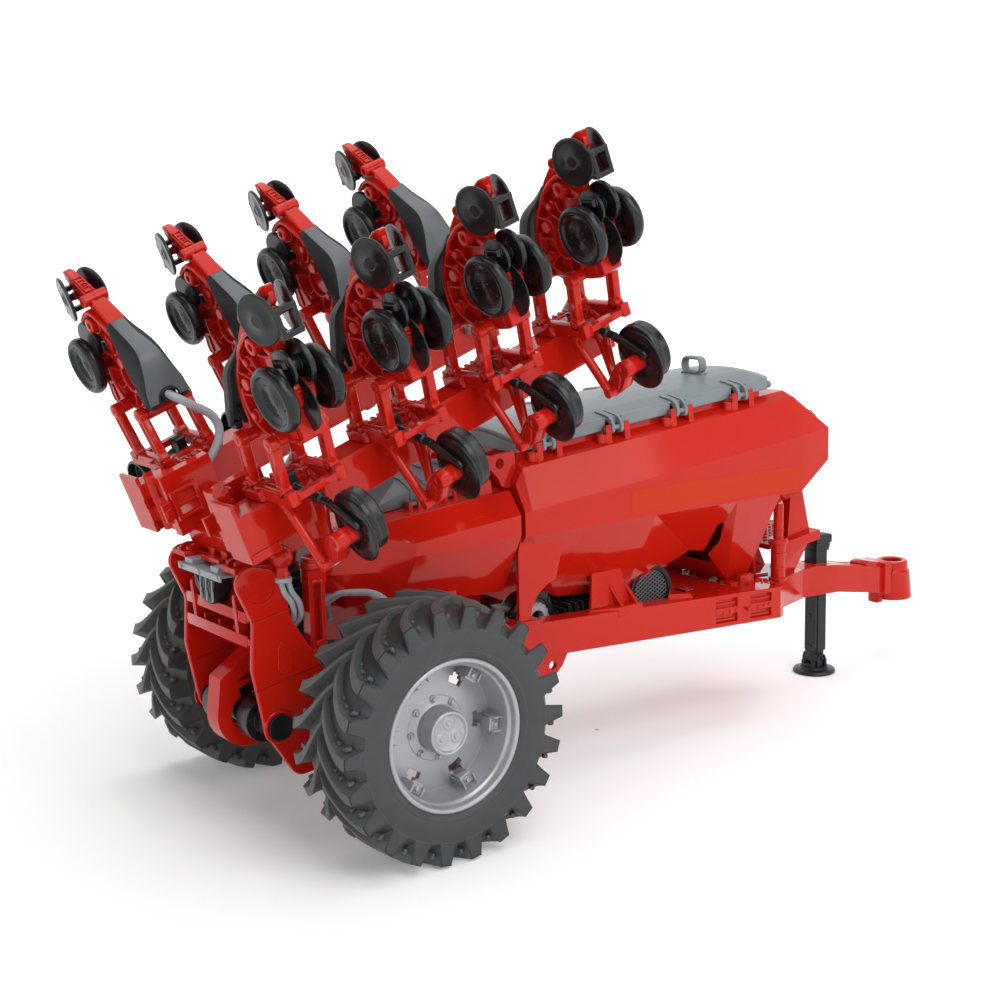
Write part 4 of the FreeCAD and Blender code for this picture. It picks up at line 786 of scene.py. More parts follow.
# %% Castings
def ribbon(points, thick, half, smooth=3, half_end=None):
    """Strip along a line in a and h, half wide to each side in b, to half_end at its end."""
    line = smooth_line(points, smooth)
    half_end = half if half_end is None else half_end
    rings = []
    for i, p in enumerate(line):
        d = line[min(i + 1, len(line) - 1)] - line[max(i - 1, 0)]
        d = d / np.hypot(*d)
        nx, nz = -d[1] * thick / 2, d[0] * thick / 2
        w = half + (half_end - half) * i / (len(line) - 1)
        e = min(0.3, thick * 0.3)
        rings.append([(p[0] + nx * k, b, p[1] + nz * k) for k, b in (
            (1, -w + e), (1, w - e), (0.4, w), (-0.4, w),
            (-1, w - e), (-1, -w + e), (-0.4, -w), (0.4, -w))])
    return loft(rings)


def around(a, h, r, start, end, steps):
    """Points on an arc about a, h, from one angle in degrees to another."""
    turns = [math.radians(start + (end - start) * k / steps) for k in range(steps + 1)]
    return [(a + r * math.cos(turn), h + r * math.sin(turn)) for turn in turns]


DRUM = (-6.5, 33.0)                # middle of the round drum wall


def casting_lump():
    web = [(-19.5, 46.5), (-17.5, 49.0), (-3.0, 48.0), (5.0, 44.5), (12.5, 38.0), (16.5, 34.0),
           (22.3, 22.5), (17.5, 13.0), (12.0, 15.5), (8.5, 18.6), (5.4, 21.0), (2.6, 17.8),
           (0.0, 9.0), (-3.0, 9.5), (-9.0, 13.0), (-17.0, 12.0), (-19.5, 20.0), (-18.5, 33.0)]
    lumps = [plate(web, -1.7, 1.7, 0.3, 1.6)]
    # flanges along the top and the back, then the ribs that branch off them
    lumps += [ribbon(*strip) for strip in (
        ([(-17.5, 48.2), (-9.0, 48.2), (-3.0, 47.3), (4.6, 43.7), (11.0, 38.0)], 1.5, 5.0),
        ([(10.6, 38.2), (14.0, 35.4), (17.2, 31.2), (21.8, 22.6), (17.6, 13.9)], 1.6, 5.3, 2),
        ([(13.6, 35.6), (10.6, 36.6), (7.0, 35.0), (3.8, 31.6), (3.0, 28.0)], 1.2, 5.2, 3, 3.4),
        ([(5.6, 42.6), (4.2, 40.0), (4.6, 36.2)], 1.1, 5.0, 3, 3.6),
        ([(11.6, 29.4), (8.2, 30.0), (4.4, 27.4), (2.6, 23.0)], 1.1, 4.6, 3, 2.8),
        ([(18.6, 28.0), (15.4, 27.4), (13.0, 24.6), (12.2, 20.6), (12.4, 16.4)], 1.1, 4.8, 3, 3.4),
        (around(*DRUM, 12.3, 62, 292, 12), 1.5, 5.3, 2),
        (around(*DRUM, 6.2, 0, 356, 12), 1.2, 3.2, 2))]
    for turn in (75, 130, 185, 240, 290):
        c, s = math.cos(math.radians(turn)), math.sin(math.radians(turn))
        spoke = [(DRUM[0] + r * c, DRUM[1] + r * s) for r in (6, 9, 12)]
        lumps.append(ribbon(spoke, 1.1, 2.8, 1, 4.6))
    # the foot's flanges, the front flange, and the closed toe under it
    lumps += [ribbon(*strip) for strip in (
        ([(-18.8, 20.0), (-17.2, 12.8), (-9.0, 13.4), (-3.2, 10.3), (0.6, 9.6)], 1.4, 4.7, 3),
        ([(0.4, 9.8), (2.2, 15.0), (3.6, 20.0), (2.4, 26.0)], 1.3, 3.9, 3),
        ([(-19.0, 46.5), (-18.3, 40.0), (-18.3, 33.0), (-19.0, 24.0), (-18.8, 20.0)], 1.5, 4.4, 2))]
    toe = [(-8.5, 14.2), (-16.2, 12.6), (-18.6, 16.0), (-18.2, 22.5), (-13.0, 26.0), (-8.0, 21.5)]
    lumps.append(plate(toe, -4.4, 4.4, 0.6, 1.6))
    for a, h, r, half in ((-18.6, 48.0, 2.3, 8.4), (-17.6, 26.0, 2.6, 8.4), (1.5, 37.7, 2.4, 6.2),
                          (9.6, 33.4, 1.5, 5.4), (-11.0, 41.6, 1.6, 5.9),
                          (0.0, GAUGE_H, 3.1, 3.4)):
        boss = [(0, -half), (r - 0.35, -half), (r, -half + 0.35), (r, half - 0.35),
                (r - 0.35, half), (0, half)]
        lumps.append(disc(a, h, boss, 24))
        if r < 2.5 and half < 8:
            lumps += [disc(a, h, [(r + 0.9, s * 1.5), (r + 0.6, s * (half - 1.8)),
                                  (r - 0.2, s * (half - 1.2))], 24) for s in (-1, 1)]
    eye = [(0, -4.4), (1.3, -4.4), (1.3, -6.1), (1.5, -6.4), (2.7, -6.4), (3.0, -6.2), (3.05, -5.9),
           (3.05, 5.9), (3.0, 6.2), (2.7, 6.4), (1.5, 6.4), (1.3, 6.1), (1.3, 4.4), (0, 4.4)]
    lumps.append(disc(16.6, 22.8, eye, 28))
    lumps.append(ribbon([(16.4, 20.4), (14.4, 18.4), (13.0, 15.6)], 2.0, 3.6, 2))
    for s in (-1, 1):
        lumps.append(disc(-4.0, 17.5, [(1.5, 0), (1.5, s * 4.9), (1.2, s * 5.2), (0, s * 5.2)], 16))
        lumps.append(shifted(block(-17.0, -10.0, -0.5, 0.5, 16.0, 17.2, 0.2), s * 4.5))
    return join(*lumps)


one_casting = casting_lump()
on_wings(("castings_", one_casting, RED, "red_plastic", "unit_bodies_", 35))
print("castings:", ROWS * 2, "of", len(one_casting[1]), "faces")

# %% [markdown]
# The tail arm is a stout channel that steps down from the hood and tapers to the closing
# discs. On its flat back lies a plain raised frame with ribs, and a short cross boss with
# a blind hole sits at its knee.

# %% Tail arms
def arm_section(a, h, wide, thick, lean):
    """Six corners across the arm, its back face leaning by an angle in degrees."""
    n = Vector((math.sin(math.radians(lean)), 0, math.cos(math.radians(lean))))
    p = Vector((a, 0, h))
    q = p - n * thick
    e = 0.45
    return [(p.x - n.x * e, -wide, p.z - n.z * e), (p.x, -wide + e, p.z), (p.x, wide - e, p.z),
            (p.x - n.x * e, wide, p.z - n.z * e), (q.x, wide * 0.92, q.z), (q.x, -wide * 0.92, q.z)]


def raised_frame():
    """Thin bars on the arm's flat back: along it from t0 to t1, across it from b0 to b1."""
    d, n = Vector((0.571, 0, -0.821)), Vector((0.821, 0, 0.571))
    start = Vector((28.9, 0, 21.9)) + n * 0.05
    lumps = []
    for t0, t1, b0, b1 in ((0, 9.4, -1.75, -1.3), (0, 9.4, 1.3, 1.75), (0, 0.45, -1.75, 1.75),
                           (9.0, 9.4, -1.75, 1.75), (2.6, 2.95, -1.3, 1.3), (5.0, 5.35, -1.3, 1.3),
                           (7.0, 7.35, -1.3, 1.3), (3.7, 4.0, -0.7, 0.7)):
        near, far = Vector((0, b0, 0)), Vector((0, b1, 0))
        lumps.append(loft([[p + near - n * 0.4, p + far - n * 0.4, p + far + n * 0.22,
                            p + near + n * 0.22] for p in (start + d * t0, start + d * t1)]))
    return lumps


def tail_lump():
    upper = loft([arm_section(*row) for row in (
        (16.4, 36.4, 3.55, 3.4, 33), (19.5, 33.9, 3.55, 4.6, 33), (23.6, 29.6, 3.4, 5.4, 33),
        (25.0, 27.9, 3.3, 5.0, 33), (25.6, 27.0, 2.9, 4.6, 33))])
    lower = loft([arm_section(*row) for row in (
        (24.6, 27.3, 2.75, 4.6, 55), (28.6, 21.8, 2.75, 4.2, 57), (34.4, 13.6, 2.4, 4.0, 58),
        (36.9, 9.6, 2.1, 4.0, 70), (37.4, 7.2, 1.9, 3.8, 90), (37.2, 6.0, 1.4, 3.2, 110))])
    rib = plate([(22.8, 23.2), (25.0, 27.0), (34.6, 12.4), (35.0, 6.4), (31.0, 6.2), (26.5, 13.0)],
                -1.1, 1.1, 0.3, 1.0)
    web = plate([(24.0, 20.0), (31.0, 12.0), (30.0, 8.0), (25.5, 7.6), (22.8, 16.0)],
                -1.2, 1.2, 0.3, 1.5)
    cheek = [(21.0, 30.6), (24.8, 26.2), (27.4, 22.4), (25.4, 20.2), (21.6, 25.4)]
    lumps = [upper, lower, rib, web]
    for s in (-1, 1):
        knob = [(0, s * 4.4), (1.2, s * 4.4), (1.3, s * 5.2), (1.6, s * 5.45), (2.2, s * 5.4),
                (2.45, s * 5.0), (2.5, 0)]
        lumps.append(disc(26.2, 23.4, knob, 28))
        lumps.append(plate(cheek, s * 2.4 - 0.5, s * 2.4 + 0.5, 0.2, 1.0))
        end = [(0, s * 2.8), (1.4, s * 2.8), (1.7, s * 2.4), (1.7, 0)]
        lumps.append(disc(CLOSER_A, 9.7, end, 20))
    return join(*lumps, *raised_frame())


one_tail = tail_lump()
on_wings(("tail_arms_", one_tail, RED, "red_plastic", "unit_tails_", 30))
print("tail arms:", ROWS * 2)

# %% [markdown]
# ## Coulter discs and scraper arms
# Ahead of each toolbar hang four black fertiliser discs. Each has a wide band behind it,
# and a scraper arm with a faceted clip reaches from the toolbar to its rim. Disc, band and
# ridge are turned; the clip is a loft of three rectangles, which gives it its flat facets.

# %% Coulter discs with their scraper arms
def coulter_disc_lump():
    turned_disc = disc(-56.6, 15.7, [(0, 2.3), (3.3, 2.3), (3.6, 2.55), (4.6, 2.55), (5.0, 2.3),
                                     (11.6, 2.5), (12.2, 2.95), (12.2, 3.3), (11.6, 3.8), (0, 3.9)], 72)
    band = disc(-54.6, 16.9, [(0, 3.7), (11.2, 3.7), (11.8, 4.0), (11.95, 4.6), (11.9, 9.4),
                              (11.5, 9.9), (11.0, 9.9), (10.75, 9.4), (10.6, 5.2), (0, 5.0)], 72)
    ridge = disc(-54.6, 16.9, [(11.9, 5.6), (12.12, 5.8), (12.12, 6.2), (11.9, 6.4)], 72)
    # four corners of the clip from below up: its ends along a, its sides in b, and their heights
    clip = loft([[(a0, b0, h0), (a1, b0, h1), (a1, b1, h1), (a0, b1, h0)]
                 for a0, a1, b0, b1, h0, h1 in ((-41.4, -34.6, -5.6, -0.5, 37.0, 37.2),
                                                (-41.6, -34.2, -5.9, -0.3, 39.6, 40.4),
                                                (-39.6, -35.2, -5.0, -1.0, 42.3, 43.2))])
    facets = [loft([[(a, b, h0), (a + 0.7, b, h0), (a + 0.7, b + dip, h1), (a, b + dip, h1)]
                    for b, dip, h0, h1 in ((-5.9, 0.7, 37.4, 41.6), (-6.4, 0.5, 38.6, 40.8))])
              for a in (-41.0, -38.8, -36.6)]
    arm = tube([(-38.2, -3.0, 40.5), (-40.2, -2.2, 37.0), (-42.4, -0.6, 32.8), (-44.6, 0.6, 29.0),
                (-46.4, 1.4, 24.6)], 1.55, 12, 5)
    cuff = lathe([(1.6, 0), (2.1, 0.3), (2.1, 2.2), (1.6, 2.6)], (-44.1, 0.5, 30.2),
                 (-1.8, 1.0, -5.2), 16)
    tip = plate([(-44.6, 26.4), (-47.6, 27.0), (-50.0, 22.4), (-55.4, 10.8), (-53.6, 8.6),
                 (-51.6, 10.2), (-47.6, 19.0)], 0.5, 2.4, 0.4, 1.2)
    blade = shifted(ribbon([(-46.4, 24.6), (-50.2, 17.0), (-54.0, 9.6)], 1.0, 0.35, 2), 0.6)
    screw = bolt((-41.8, -3.2, 39.6), (-1, 0, -0.1), 0.9, 0.7, False)
    return join(turned_disc, band, ridge, clip, *facets, arm, cuff, tip, blade, screw)


one_coulter_disc = coulter_disc_lump()
on_wings(("coulter_blades_", one_coulter_disc, BLACK, "black_plastic", "coulter_discs_", 38))
print("coulter discs:", ROWS * 2)

# %% [markdown]
# Four parallel links join each unit to its toolbar. A link is a flat bar with raised rims,
# so it is one bar with two thin bars laid along it, and an eye with a pin at each end.
# They spring from two posts that are clamped round the toolbar with small bolts.

# %% Parallel links and clamps
def links_lump():
    eye = [(0.01, -2.3), (1.1, -2.3), (1.3, -2.0), (2.4, -2.0), (2.9, -1.6), (2.9, 1.6), (2.4, 2.0),
           (1.3, 2.0), (1.1, 2.3), (0.01, 2.3)]
    lumps = []
    for b in (-10.2, 10.2):
        for h0, h1 in ((48.0, 52.0), (26.0, 30.0)):
            lumps.append(bar((-36.5, b, h1), (-18.0, b, h0), 2.6, 4.6, 0.5))
            for rise in (-1.75, 1.75):
                lumps.append(bar((-35.6, b, h1 + rise), (-19.4, b, h0 + rise), 3.5, 1.0, 0.3))
            lumps += [lathe(eye, (a, b, h), (0, 1, 0), 28) for a, h in ((-36.3, h1), (-18.0, h0))]
        lumps.append(block(-41.5, -36.2, b - 2.0, b + 2.0, 24.5, 57.5, 0.6))
        lumps.append(block(-41.5, -37.4, b - 3.6, b + 3.6, 44.0, 56.0, 0.6))
        lumps += [bolt((-37.4, b + aside, h), (1, 0, 0), 0.75, 0.6, False)
                  for aside in (-2.8, 2.8) for h in (46.2, 53.8)]
        lumps.append(bar((-41.0, b, 33.0), (-38.4, b, 44.6), 1.0, 3.0, 0.3))
    lumps.append(block(-41.5, -39.4, -13.5, 13.5, 43.6, 56.6, 0.5))
    lumps += [block(-39.6, -38.9, -9.0, 9.0, h, h + 1.0, 0.3) for h in (46.0, 53.2)]
    lumps.append(block(-40.5, -38.0, -10.2, 10.2, 25.0, 28.5, 0.5))
    lumps += [block(-41.5, -38.6, b, b + 1.5, 55.0, 58.6, 0.35) for b in (-7.0, -4.0, -1.0, 2.0, 5.0)]
    return join(*lumps)


one_linkage = links_lump()
on_wings(("linkages_", one_linkage, RED, "red_plastic", "link_arms_", 36))
print("parallel links:", ROWS * 8)

# %% [markdown]
# Each coulter disc hangs in a fork of bent arms that leaves the toolbar through two bolted
# ears and ends in a flat foot with a boss for the disc's axle. The arms are pipes along
# smooth lines, and the foot is a plate with a thinner cheek on it.

# %% Forks that carry the discs
FORK_SIDES = (-9.0, 7.4)           # where the two arms leave the toolbar


def fork_lump():
    stout = tube([(-39.9, -9.0, 48.6), (-40.1, -9.0, 42.4), (-42.6, -9.0, 38.2),
                  (-51.0, -9.0, 32.6), (-60.6, -9.0, 27.4), (-66.4, -8.4, 25.2)], 1.9, 14, 5)
    outer = tube([(-39.9, 7.4, 48.6), (-40.1, 7.4, 42.0), (-44.6, 6.2, 36.8), (-57.6, -0.8, 29.2),
                  (-64.2, -3.6, 26.2)], 1.5, 12, 5)
    inner = tube([(-48.0, 4.4, 42.6), (-49.5, 3.4, 38.0), (-58.0, -2.0, 29.5),
                  (-64.0, -4.0, 26.2)], 1.4, 12, 4)
    tie = rod((-66.0, -10.3, 25.2), (-66.0, -1.0, 25.2), 2.1, 20)
    foot = plate([(-69.6, 27.2), (-66.6, 29.6), (-63.0, 28.4), (-58.0, 24.0), (-54.4, 19.6),
                  (-52.8, 14.6), (-54.6, 12.2), (-58.6, 12.4), (-60.4, 15.6), (-65.4, 19.4)],
                 -6.4, -0.8, 0.9, 1.5)
    cheek = plate([(-67.6, 26.6), (-64.4, 27.6), (-59.0, 22.4), (-56.6, 18.6), (-60.6, 18.8),
                   (-65.2, 21.6)], -6.9, -6.2, 0.3, 0.8)
    boss = lathe([(1.5, -6.4), (1.7, -7.0), (3.1, -7.0), (3.4, -6.6), (3.4, 2.0), (3.0, 2.2),
                  (1.5, 2.2), (1.5, -6.4)], (-56.6, 0, 15.7), (0, 1, 0), 32, caps=False)
    ears = [block(-42.4, -37.8, b - 2.1, b + 2.1, 43.2, 46.4, 0.5) for b in FORK_SIDES]
    ears += [bolt((-42.4, b, 44.8), (-1, 0, 0), 0.9, 0.7, False) for b in FORK_SIDES]
    return join(stout, outer, inner, tie, foot, cheek, boss, *ears)


one_fork = fork_lump()
on_wings(("coulter_forks_", one_fork, RED, "red_plastic", "coulters_", 40))
print("coulter forks:", ROWS * 2)

# %% [markdown]
# Light grey hoses bow from the hoods to the toolbars. They are stiff mouldings held at
# both ends, so each is one pipe along a smooth line with a fine seam on its back, and a
# collar, an elbow and a seat where it is held.

# %% Hoses
HOSE_ROUTE = ((-10.8, 0, 49.6), (-11.6, 0, 52.4), (-12.6, 0.2, 55.2), (-16.4, 3.2, 57.4),
              (-21.5, 7.5, 58.6), (-27.0, 12.2, 58.7), (-32.0, 13.6, 58.7), (-36.4, 12.2, 59.2),
              (-40.0, 8.4, 59.9), (-43.2, 3.6, 60.3), (-46.0, 0.4, 60.4))


def hose_lump(hand):
    """The hose of a unit; it bows to the front on both wings, so its side turns over."""
    hose = tube([(a, -hand * b, h) for a, b, h in HOSE_ROUTE], 1.75, 16, 5)
    seam = tube([(a, -hand * b, h + 1.72) for a, b, h in HOSE_ROUTE[2:]], 0.16, 6, 5)
    collar = lathe([(1.9, 0), (2.6, 0.3), (2.6, 2.4), (2.2, 2.9), (1.8, 3.0)], (-47.6, 0, 60.3),
                   (1, 0.12 * -hand, 0), 20)
    elbow = lathe([(1.9, 0), (2.5, 0.2), (2.5, 1.4), (2.1, 1.7)], (-11.2, 0, 51.0),
                  (-0.25, 0, 1), 20)
    seat = block(-50.0, -46.4, -3.0, 3.0, 56.82, 60.9, 0.5)
    return join(hose, seam, collar, elbow, seat)


for name, hand in SIDES:
    piece("hoses_" + name, four_times(hose_lump(hand), hand), LIGHT, "wing_" + name,
          ["seed_hoses_" + name], 40)
print("hoses:", ROWS * 2)

# %% [markdown]
# ## Hopper lid
# The long lid is a thin grey shell: an upright band along its edge, a low crown, and a
# front end with cut corners. The band stops short at each hinge, where two straps run out
# of the crown, bend over the edge and close round the hinge pin. Its numbers follow the
# frame's own lid, which this piece stands for, so it swings about the same pins.

# %% Lid measures and two more forms
HINGES = [86.0 + 36.6 * i for i in range(4)]
PIN_Y, PIN_Z, PIN_X, PIN_RISE = -31.6, 145.9, 142.0, math.tan(math.radians(5.36))
LID_BACK, LID_FRONT = 71.6, 214.0


def lid_foot(x):
    """Height of the lid's lower edge, which rises to the front."""
    return 138.4 + 0.0938 * (x - 71.0)


def plate_yz(points, x0, x1, edge=0.3, r=0.0):
    """Plate from an outline in Y and Z, between two distances in X."""
    flat = plate([(-y, z) for y, z in points], x0, x1, edge, r)
    return moved(flat, Matrix.Rotation(math.radians(-90), 4, "Z"))


def hoop(points, wide, y0, y1, edge=0.25):
    """Closed frame of square section that follows an outline in X and Z."""
    rings = []
    outer, inner = inset(points, -wide / 2), inset(points, wide / 2)
    for (ax, az), (bx, bz) in zip(outer, inner):
        ux, uz = (bx - ax) * edge / wide, (bz - az) * edge / wide
        rings.append([(ax, y0 + edge, az), (ax, y1 - edge, az), (ax + ux, y1, az + uz),
                      (bx - ux, y1, bz - uz), (bx, y1 - edge, bz), (bx, y0 + edge, bz),
                      (bx - ux, y0, bz - uz), (ax + ux, y0, az + uz)])
    return loft(rings, round_trip=True)


print("lid hinges at", [round(x, 1) for x in HINGES])

# %% Crown and edge bands
def crown_ring(x, half, crown, thick):
    """Across the lid at x: its curved top, then the same curve below."""
    z = lid_foot(x) + 4.9
    ys = [half * math.cos(math.pi * k / 24) for k in range(25)]
    outer = [(x, -y, z + crown * (1 - (y / half) ** 2)) for y in ys]
    inner = [(x, -y * (1 - 1.2 / half), z + crown * (1 - (y / half) ** 2) - thick)
             for y in reversed(ys)]
    return outer + inner


def edge_band(x0, x1, hand):
    section = ((29.7, 0.0), (30.0, 0.3), (30.0, 4.7), (29.9, 5.0), (28.6, 5.0), (28.6, 0.0))
    return loft([[(x, hand * y, lid_foot(x) + h) for y, h in section] for x in (x0, x1)])


def lid_shell():
    top = loft([crown_ring(*row) for row in (
        (71.5, 29.7, 2.9, 1.2), (71.8, 30.0, 3.2, 1.7), (213.5, 30.0, 3.2, 1.7))])
    nose = loft([crown_ring(*row) for row in (
        (213.4, 30.0, 3.2, 4.9), (215.8, 28.4, 3.0, 4.9), (218.0, 26.0, 2.6, 4.9),
        (219.0, 21.0, 2.1, 4.7), (219.6, 15.0, 1.6, 4.4))])
    stops = [LID_BACK] + [x + s * 4.5 for x in HINGES for s in (-1, 1)] + [LID_FRONT]
    bands = [edge_band(x0, x1, -1) for x0, x1 in zip(stops[::2], stops[1::2])]
    bands.append(edge_band(LID_BACK, LID_FRONT, 1))
    end = ((-29.4, 0.0), (29.4, 0.0), (29.4, 5.0), (0, 7.6), (-29.4, 5.0))
    bands.append(loft([[(x, y, lid_foot(x) + h) for y, h in end] for x in (71.55, 73.0)]))
    return join(top, nose, *bands)


print("lid shell drawn, from", LID_BACK, "to", LID_FRONT, "mm")

# %% Straps, handle, and the whole lid
def lid_straps():
    strap = [(-21.5, 5.9), (-21.5, 7.0), (-28.4, 6.0), (-30.4, 5.5), (-32.2, 4.3), (-33.2, 2.6),
             (-33.5, 0.6), (-33.3, -0.8), (-32.3, -1.5), (-31.1, -1.3), (-30.5, -0.3),
             (-30.4, 2.2), (-29.2, 3.8), (-26.0, 4.6)]
    far = [(21.5, 5.9), (21.5, 7.0), (28.4, 6.0), (30.3, 5.3), (30.8, 4.0), (30.6, 2.4),
           (29.6, 2.4), (28.8, 4.4), (26.0, 5.0)]
    lumps = []
    for x in HINGES:
        z = lid_foot(x)
        for dx in (-2.4, 2.4):
            for outline, r in ((strap, 0.5), (far, 0.4)):
                lumps.append(plate_yz([(y, z + h) for y, h in outline], x + dx - 0.8, x + dx + 0.8,
                                      0.3, r))
        lumps.append(block(x - 1.7, x + 1.7, -30.0, -28.6, z + 2.0, z + 5.0, 0.2))
        low, high = (PIN_Z + PIN_RISE * (x + s * 6.2 - PIN_X) for s in (-1, 1))
        lumps.append(rod((x - 6.2, PIN_Y, low), (x + 6.2, PIN_Y, high), 1.0, 20))
    return lumps


def lid_handle():
    z = lid_foot(197.0) + 7.4
    path = rounded([(-5.8, z + 1.4), (5.8, z + 1.4), (5.8, z + 7.8), (-5.8, z + 7.8)], 3.0, 5)
    turn = Matrix.Rotation(math.radians(-90), 4, "Z")
    knob = [(0.6, 0), (1.5, 0.5), (1.75, 1.3), (1.5, 2.1), (0.6, 2.6)]
    return [moved(hoop(path, 3.0, 195.4, 198.9, 0.5), turn),
            moved(hoop(path, 2.0, 195.0, 199.3, 0.4), turn),
            plate_yz([(-7.2, z - 1.8), (7.2, z - 1.8), (6.6, z + 1.2), (-6.6, z + 1.2)],
                     195.2, 199.1, 0.3),
            rod((213.0, -27.6, 153.3), (217.2, -27.6, 153.7), 1.1, 20),
            lathe(knob, (215.6, -27.6, 153.6), (1, 0, 0.09), 24)]


lid = join(lid_shell(), *lid_straps(), *lid_handle())
piece("lid_shell", lid, GREY, "hopper_lid", ["hopper_lid"], 30)
print("lid: straps on", len(HINGES), "hinges, each side")

# %% [markdown]
# ## Hopper trim
# Small blocks stand beside the hinge lugs, a plain orange-red sticker with no words lies
# on each side's upright belt, a grey catch sits on the sloping nose, and the two front
# feet of the funnel are held by bolts.

# %% Stickers, blocks, catch, feet
blocks = []
for x in HINGES:
    z = lid_foot(x - 8)
    blocks.append(lathe([(2.0, 0), (2.0, 3.4), (1.6, 3.8)], (x - 8.2, PIN_Y, z - 4.4), (0, 0, 1), 24))
    blocks.append(block(x - 8.2, x - 5.0, -33.4, -29.6, z - 4.6, z - 0.8, 0.3))
foot = plate([(201.0, 66.9), (208.6, 66.9), (209.2, 66.3), (209.2, 60.4), (203.0, 60.4),
              (201.0, 62.0)], 24.6, 27.2, 0.35, 0.7)
foot_bolts = bolt((205.4, 27.2, 63.6), (0, 1, 0), 1.25, 0.9)
piece("hopper_trim", join(both(foot, foot_bolts), join(*blocks)), RED, "chassis", (), 32)
sticker = [(122.9, 118.1), (226.0, 117.3), (226.2, 116.9), (226.2, 106.8), (225.8, 106.4),
           (123.2, 107.8), (122.8, 108.3)]
piece("stickers", both(plate(sticker, 41.0, 41.08, 0.02)), STICKER, "chassis", (), 32)
hook = [(237.6, 138.2), (239.2, 140.2), (241.6, 140.0), (245.2, 137.0), (246.0, 134.0), (244.4, 132.6)]
catch = both(plate(hook, 28.4, 31.6, 0.4, 0.8), block(243.7, 246.0, 1.0, 6.8, 121.2, 127.8, 0.5))
piece("nose_catch", catch, GREY, "chassis", (), 32)
print("hopper trim placed")

# %% [markdown]
# ## Chassis trim
# The rails carry bolts on the ribs of their two recessed panels, and small studs below.
# The step ahead of the hopper is chequered: short bars that lie left and right in turn,
# each one a little lathe form laid on its side.

# %% Rails and chequer plate
def rail_foot(x):
    """Height of a rail's lower edge, which falls to the front."""
    return 55.0 - 0.052 * (x - 70.0)


def chequer(x0, x1, y0, y1, height, step=3.3):
    """Small bars in a chequer pattern on a surface whose height depends on x."""
    bars = []
    for i in range(int((x1 - x0) / step)):
        for j in range(int((y1 - y0) / step)):
            x, y = x0 + (i + 0.5) * step, y0 + (j + 0.5) * step
            turn = math.radians(45 if (i + j) % 2 else -45)
            d = Vector((math.cos(turn), math.sin(turn), 0)) * 1.05
            c = Vector((x, y, height(x)))
            bars.append(lathe([(0.25, 0), (0.6, 0.25), (0.6, 1.85), (0.25, 2.1)], c - d, d, 8))
    return bars


def step_height(x):
    return 76.4 + 0.128 * (x - 227.0) + 0.05


def deck_height(x):
    return 62.1 if x < 214 else 61.9 - 0.1 * (x - 214)


bolts = [bolt((x, y, z), (0, 1, 0), 0.95, 0.8, False) for x, y, z in (
    (178.0, 39.8, 55.6), (181.9, 39.8, 55.7), (185.4, 39.8, 55.8), (192.2, 41.0, 55.4),
    (199.6, 39.8, 55.0), (203.4, 39.8, 55.1), (206.6, 39.8, 55.2))]
bolts += [lathe([(1.0, -0.4), (1.0, 0.5), (0.7, 0.8)], (x, 36.5, rail_foot(x)), (0, 0, -1), 6)
          for x in (163.6, 176.5, 190.0, 204.0)]
ribs = []
for panel_x in (173.0, 194.5):
    mid = rail_foot(panel_x + 6.7)
    ribs.append(loft([[(x, y, rail_foot(x) + h)
                       for y, h in ((38.0, 5.6), (40.0, 5.9), (40.0, 8.3), (38.0, 8.6))]
                      for x in (panel_x + 0.2, panel_x + 13.3)]))
    ribs += [rod((panel_x + 0.6, 38.5, mid + h), (panel_x + 12.9, 38.5, mid + h - 0.6), 0.8, 12)
             for h in (3.2, 10.6)]
step = chequer(229.6, 255.4, -21.2, 21.2, step_height)
deck = chequer(212.0, 222.0, 15.0, 31.0, deck_height, 3.0)
pad = loft([[(150.0, 34.4, 64.0), (163.0, 37.6, 63.4), (161.8, 22.0, 63.6)],
            [(150.6, 33.6, 67.4), (161.0, 36.0, 66.8), (160.6, 23.6, 66.8)]])
collars = [lathe([(r - 0.3, 0), (r, 0.3), (r, high - 0.3), (r - 0.3, high)],
                 (228.0, 24.6, z), (0, 0, 1), 32)
           for z, r, high in ((60.2, 4.3, 1.6), (66.0, 3.75, 1.0), (73.5, 3.7, 0.5),
                              (77.6, 4.7, 2.4), (84.0, 2.7, 0.8))]
frame_bars = [bar((219.0, 17.6, 61.5), (219.0, 17.6, 86.0), 2.0, 2.0),
              bar((212.0, 17.6, 62.6), (228.0, 17.6, 61.8), 2.0, 1.8)]
trim = join(both(*bolts, *ribs, *collars, *frame_bars), *step, both(*deck), both(pad))
piece("chassis_trim", trim, RED, "chassis", (), 34)
print("chassis trim:", len(step) + 2 * len(deck), "chequer bars")

# %% [markdown]
# ## Drawbar
# The drawbar ends in a bell-shaped coupling ring behind a square block, with a raised tongue
# along its top. The ring is turned, so its hole is part of the profile. At the other end
# the bar spreads in a hollow curve to meet both rails, as a loft of many sections.

# %% Coupling and root
COUPLING_X, COUPLING_Z = 338.0, 29.8
raised = [(268.0, 57.2), (279.0, 57.0), (296.0, 54.0), (310.0, 51.4), (322.0, 49.8),
          (323.4, 50.6), (323.4, 48.6), (268.0, 55.0)]
saddle = [(312.0, 50.0), (323.6, 48.2), (323.6, 51.2), (315.0, 52.6), (311.6, 51.8)]
bell = [(5.15, 19.0), (5.5, 19.6), (7.6, 19.6), (8.2, 19.1), (8.35, 15.4), (8.6, 14.8),
        (9.2, 14.4), (9.3, 13.6), (10.0, 6.0), (10.55, 1.0), (10.5, 0.3), (10.0, 0.0),
        (6.2, 0.0), (5.15, 0.8), (5.15, 19.0)]
neck = loft([[(x, y * k, 39.6 + (z - 39.6) * k)
              for y, z in ((-6.8, 33.2), (6.8, 33.2), (6.8, 48.4), (-6.8, 48.4))]
             for x, k in ((327.8, 0.94), (330.5, 0.86), (333.6, 0.86))])
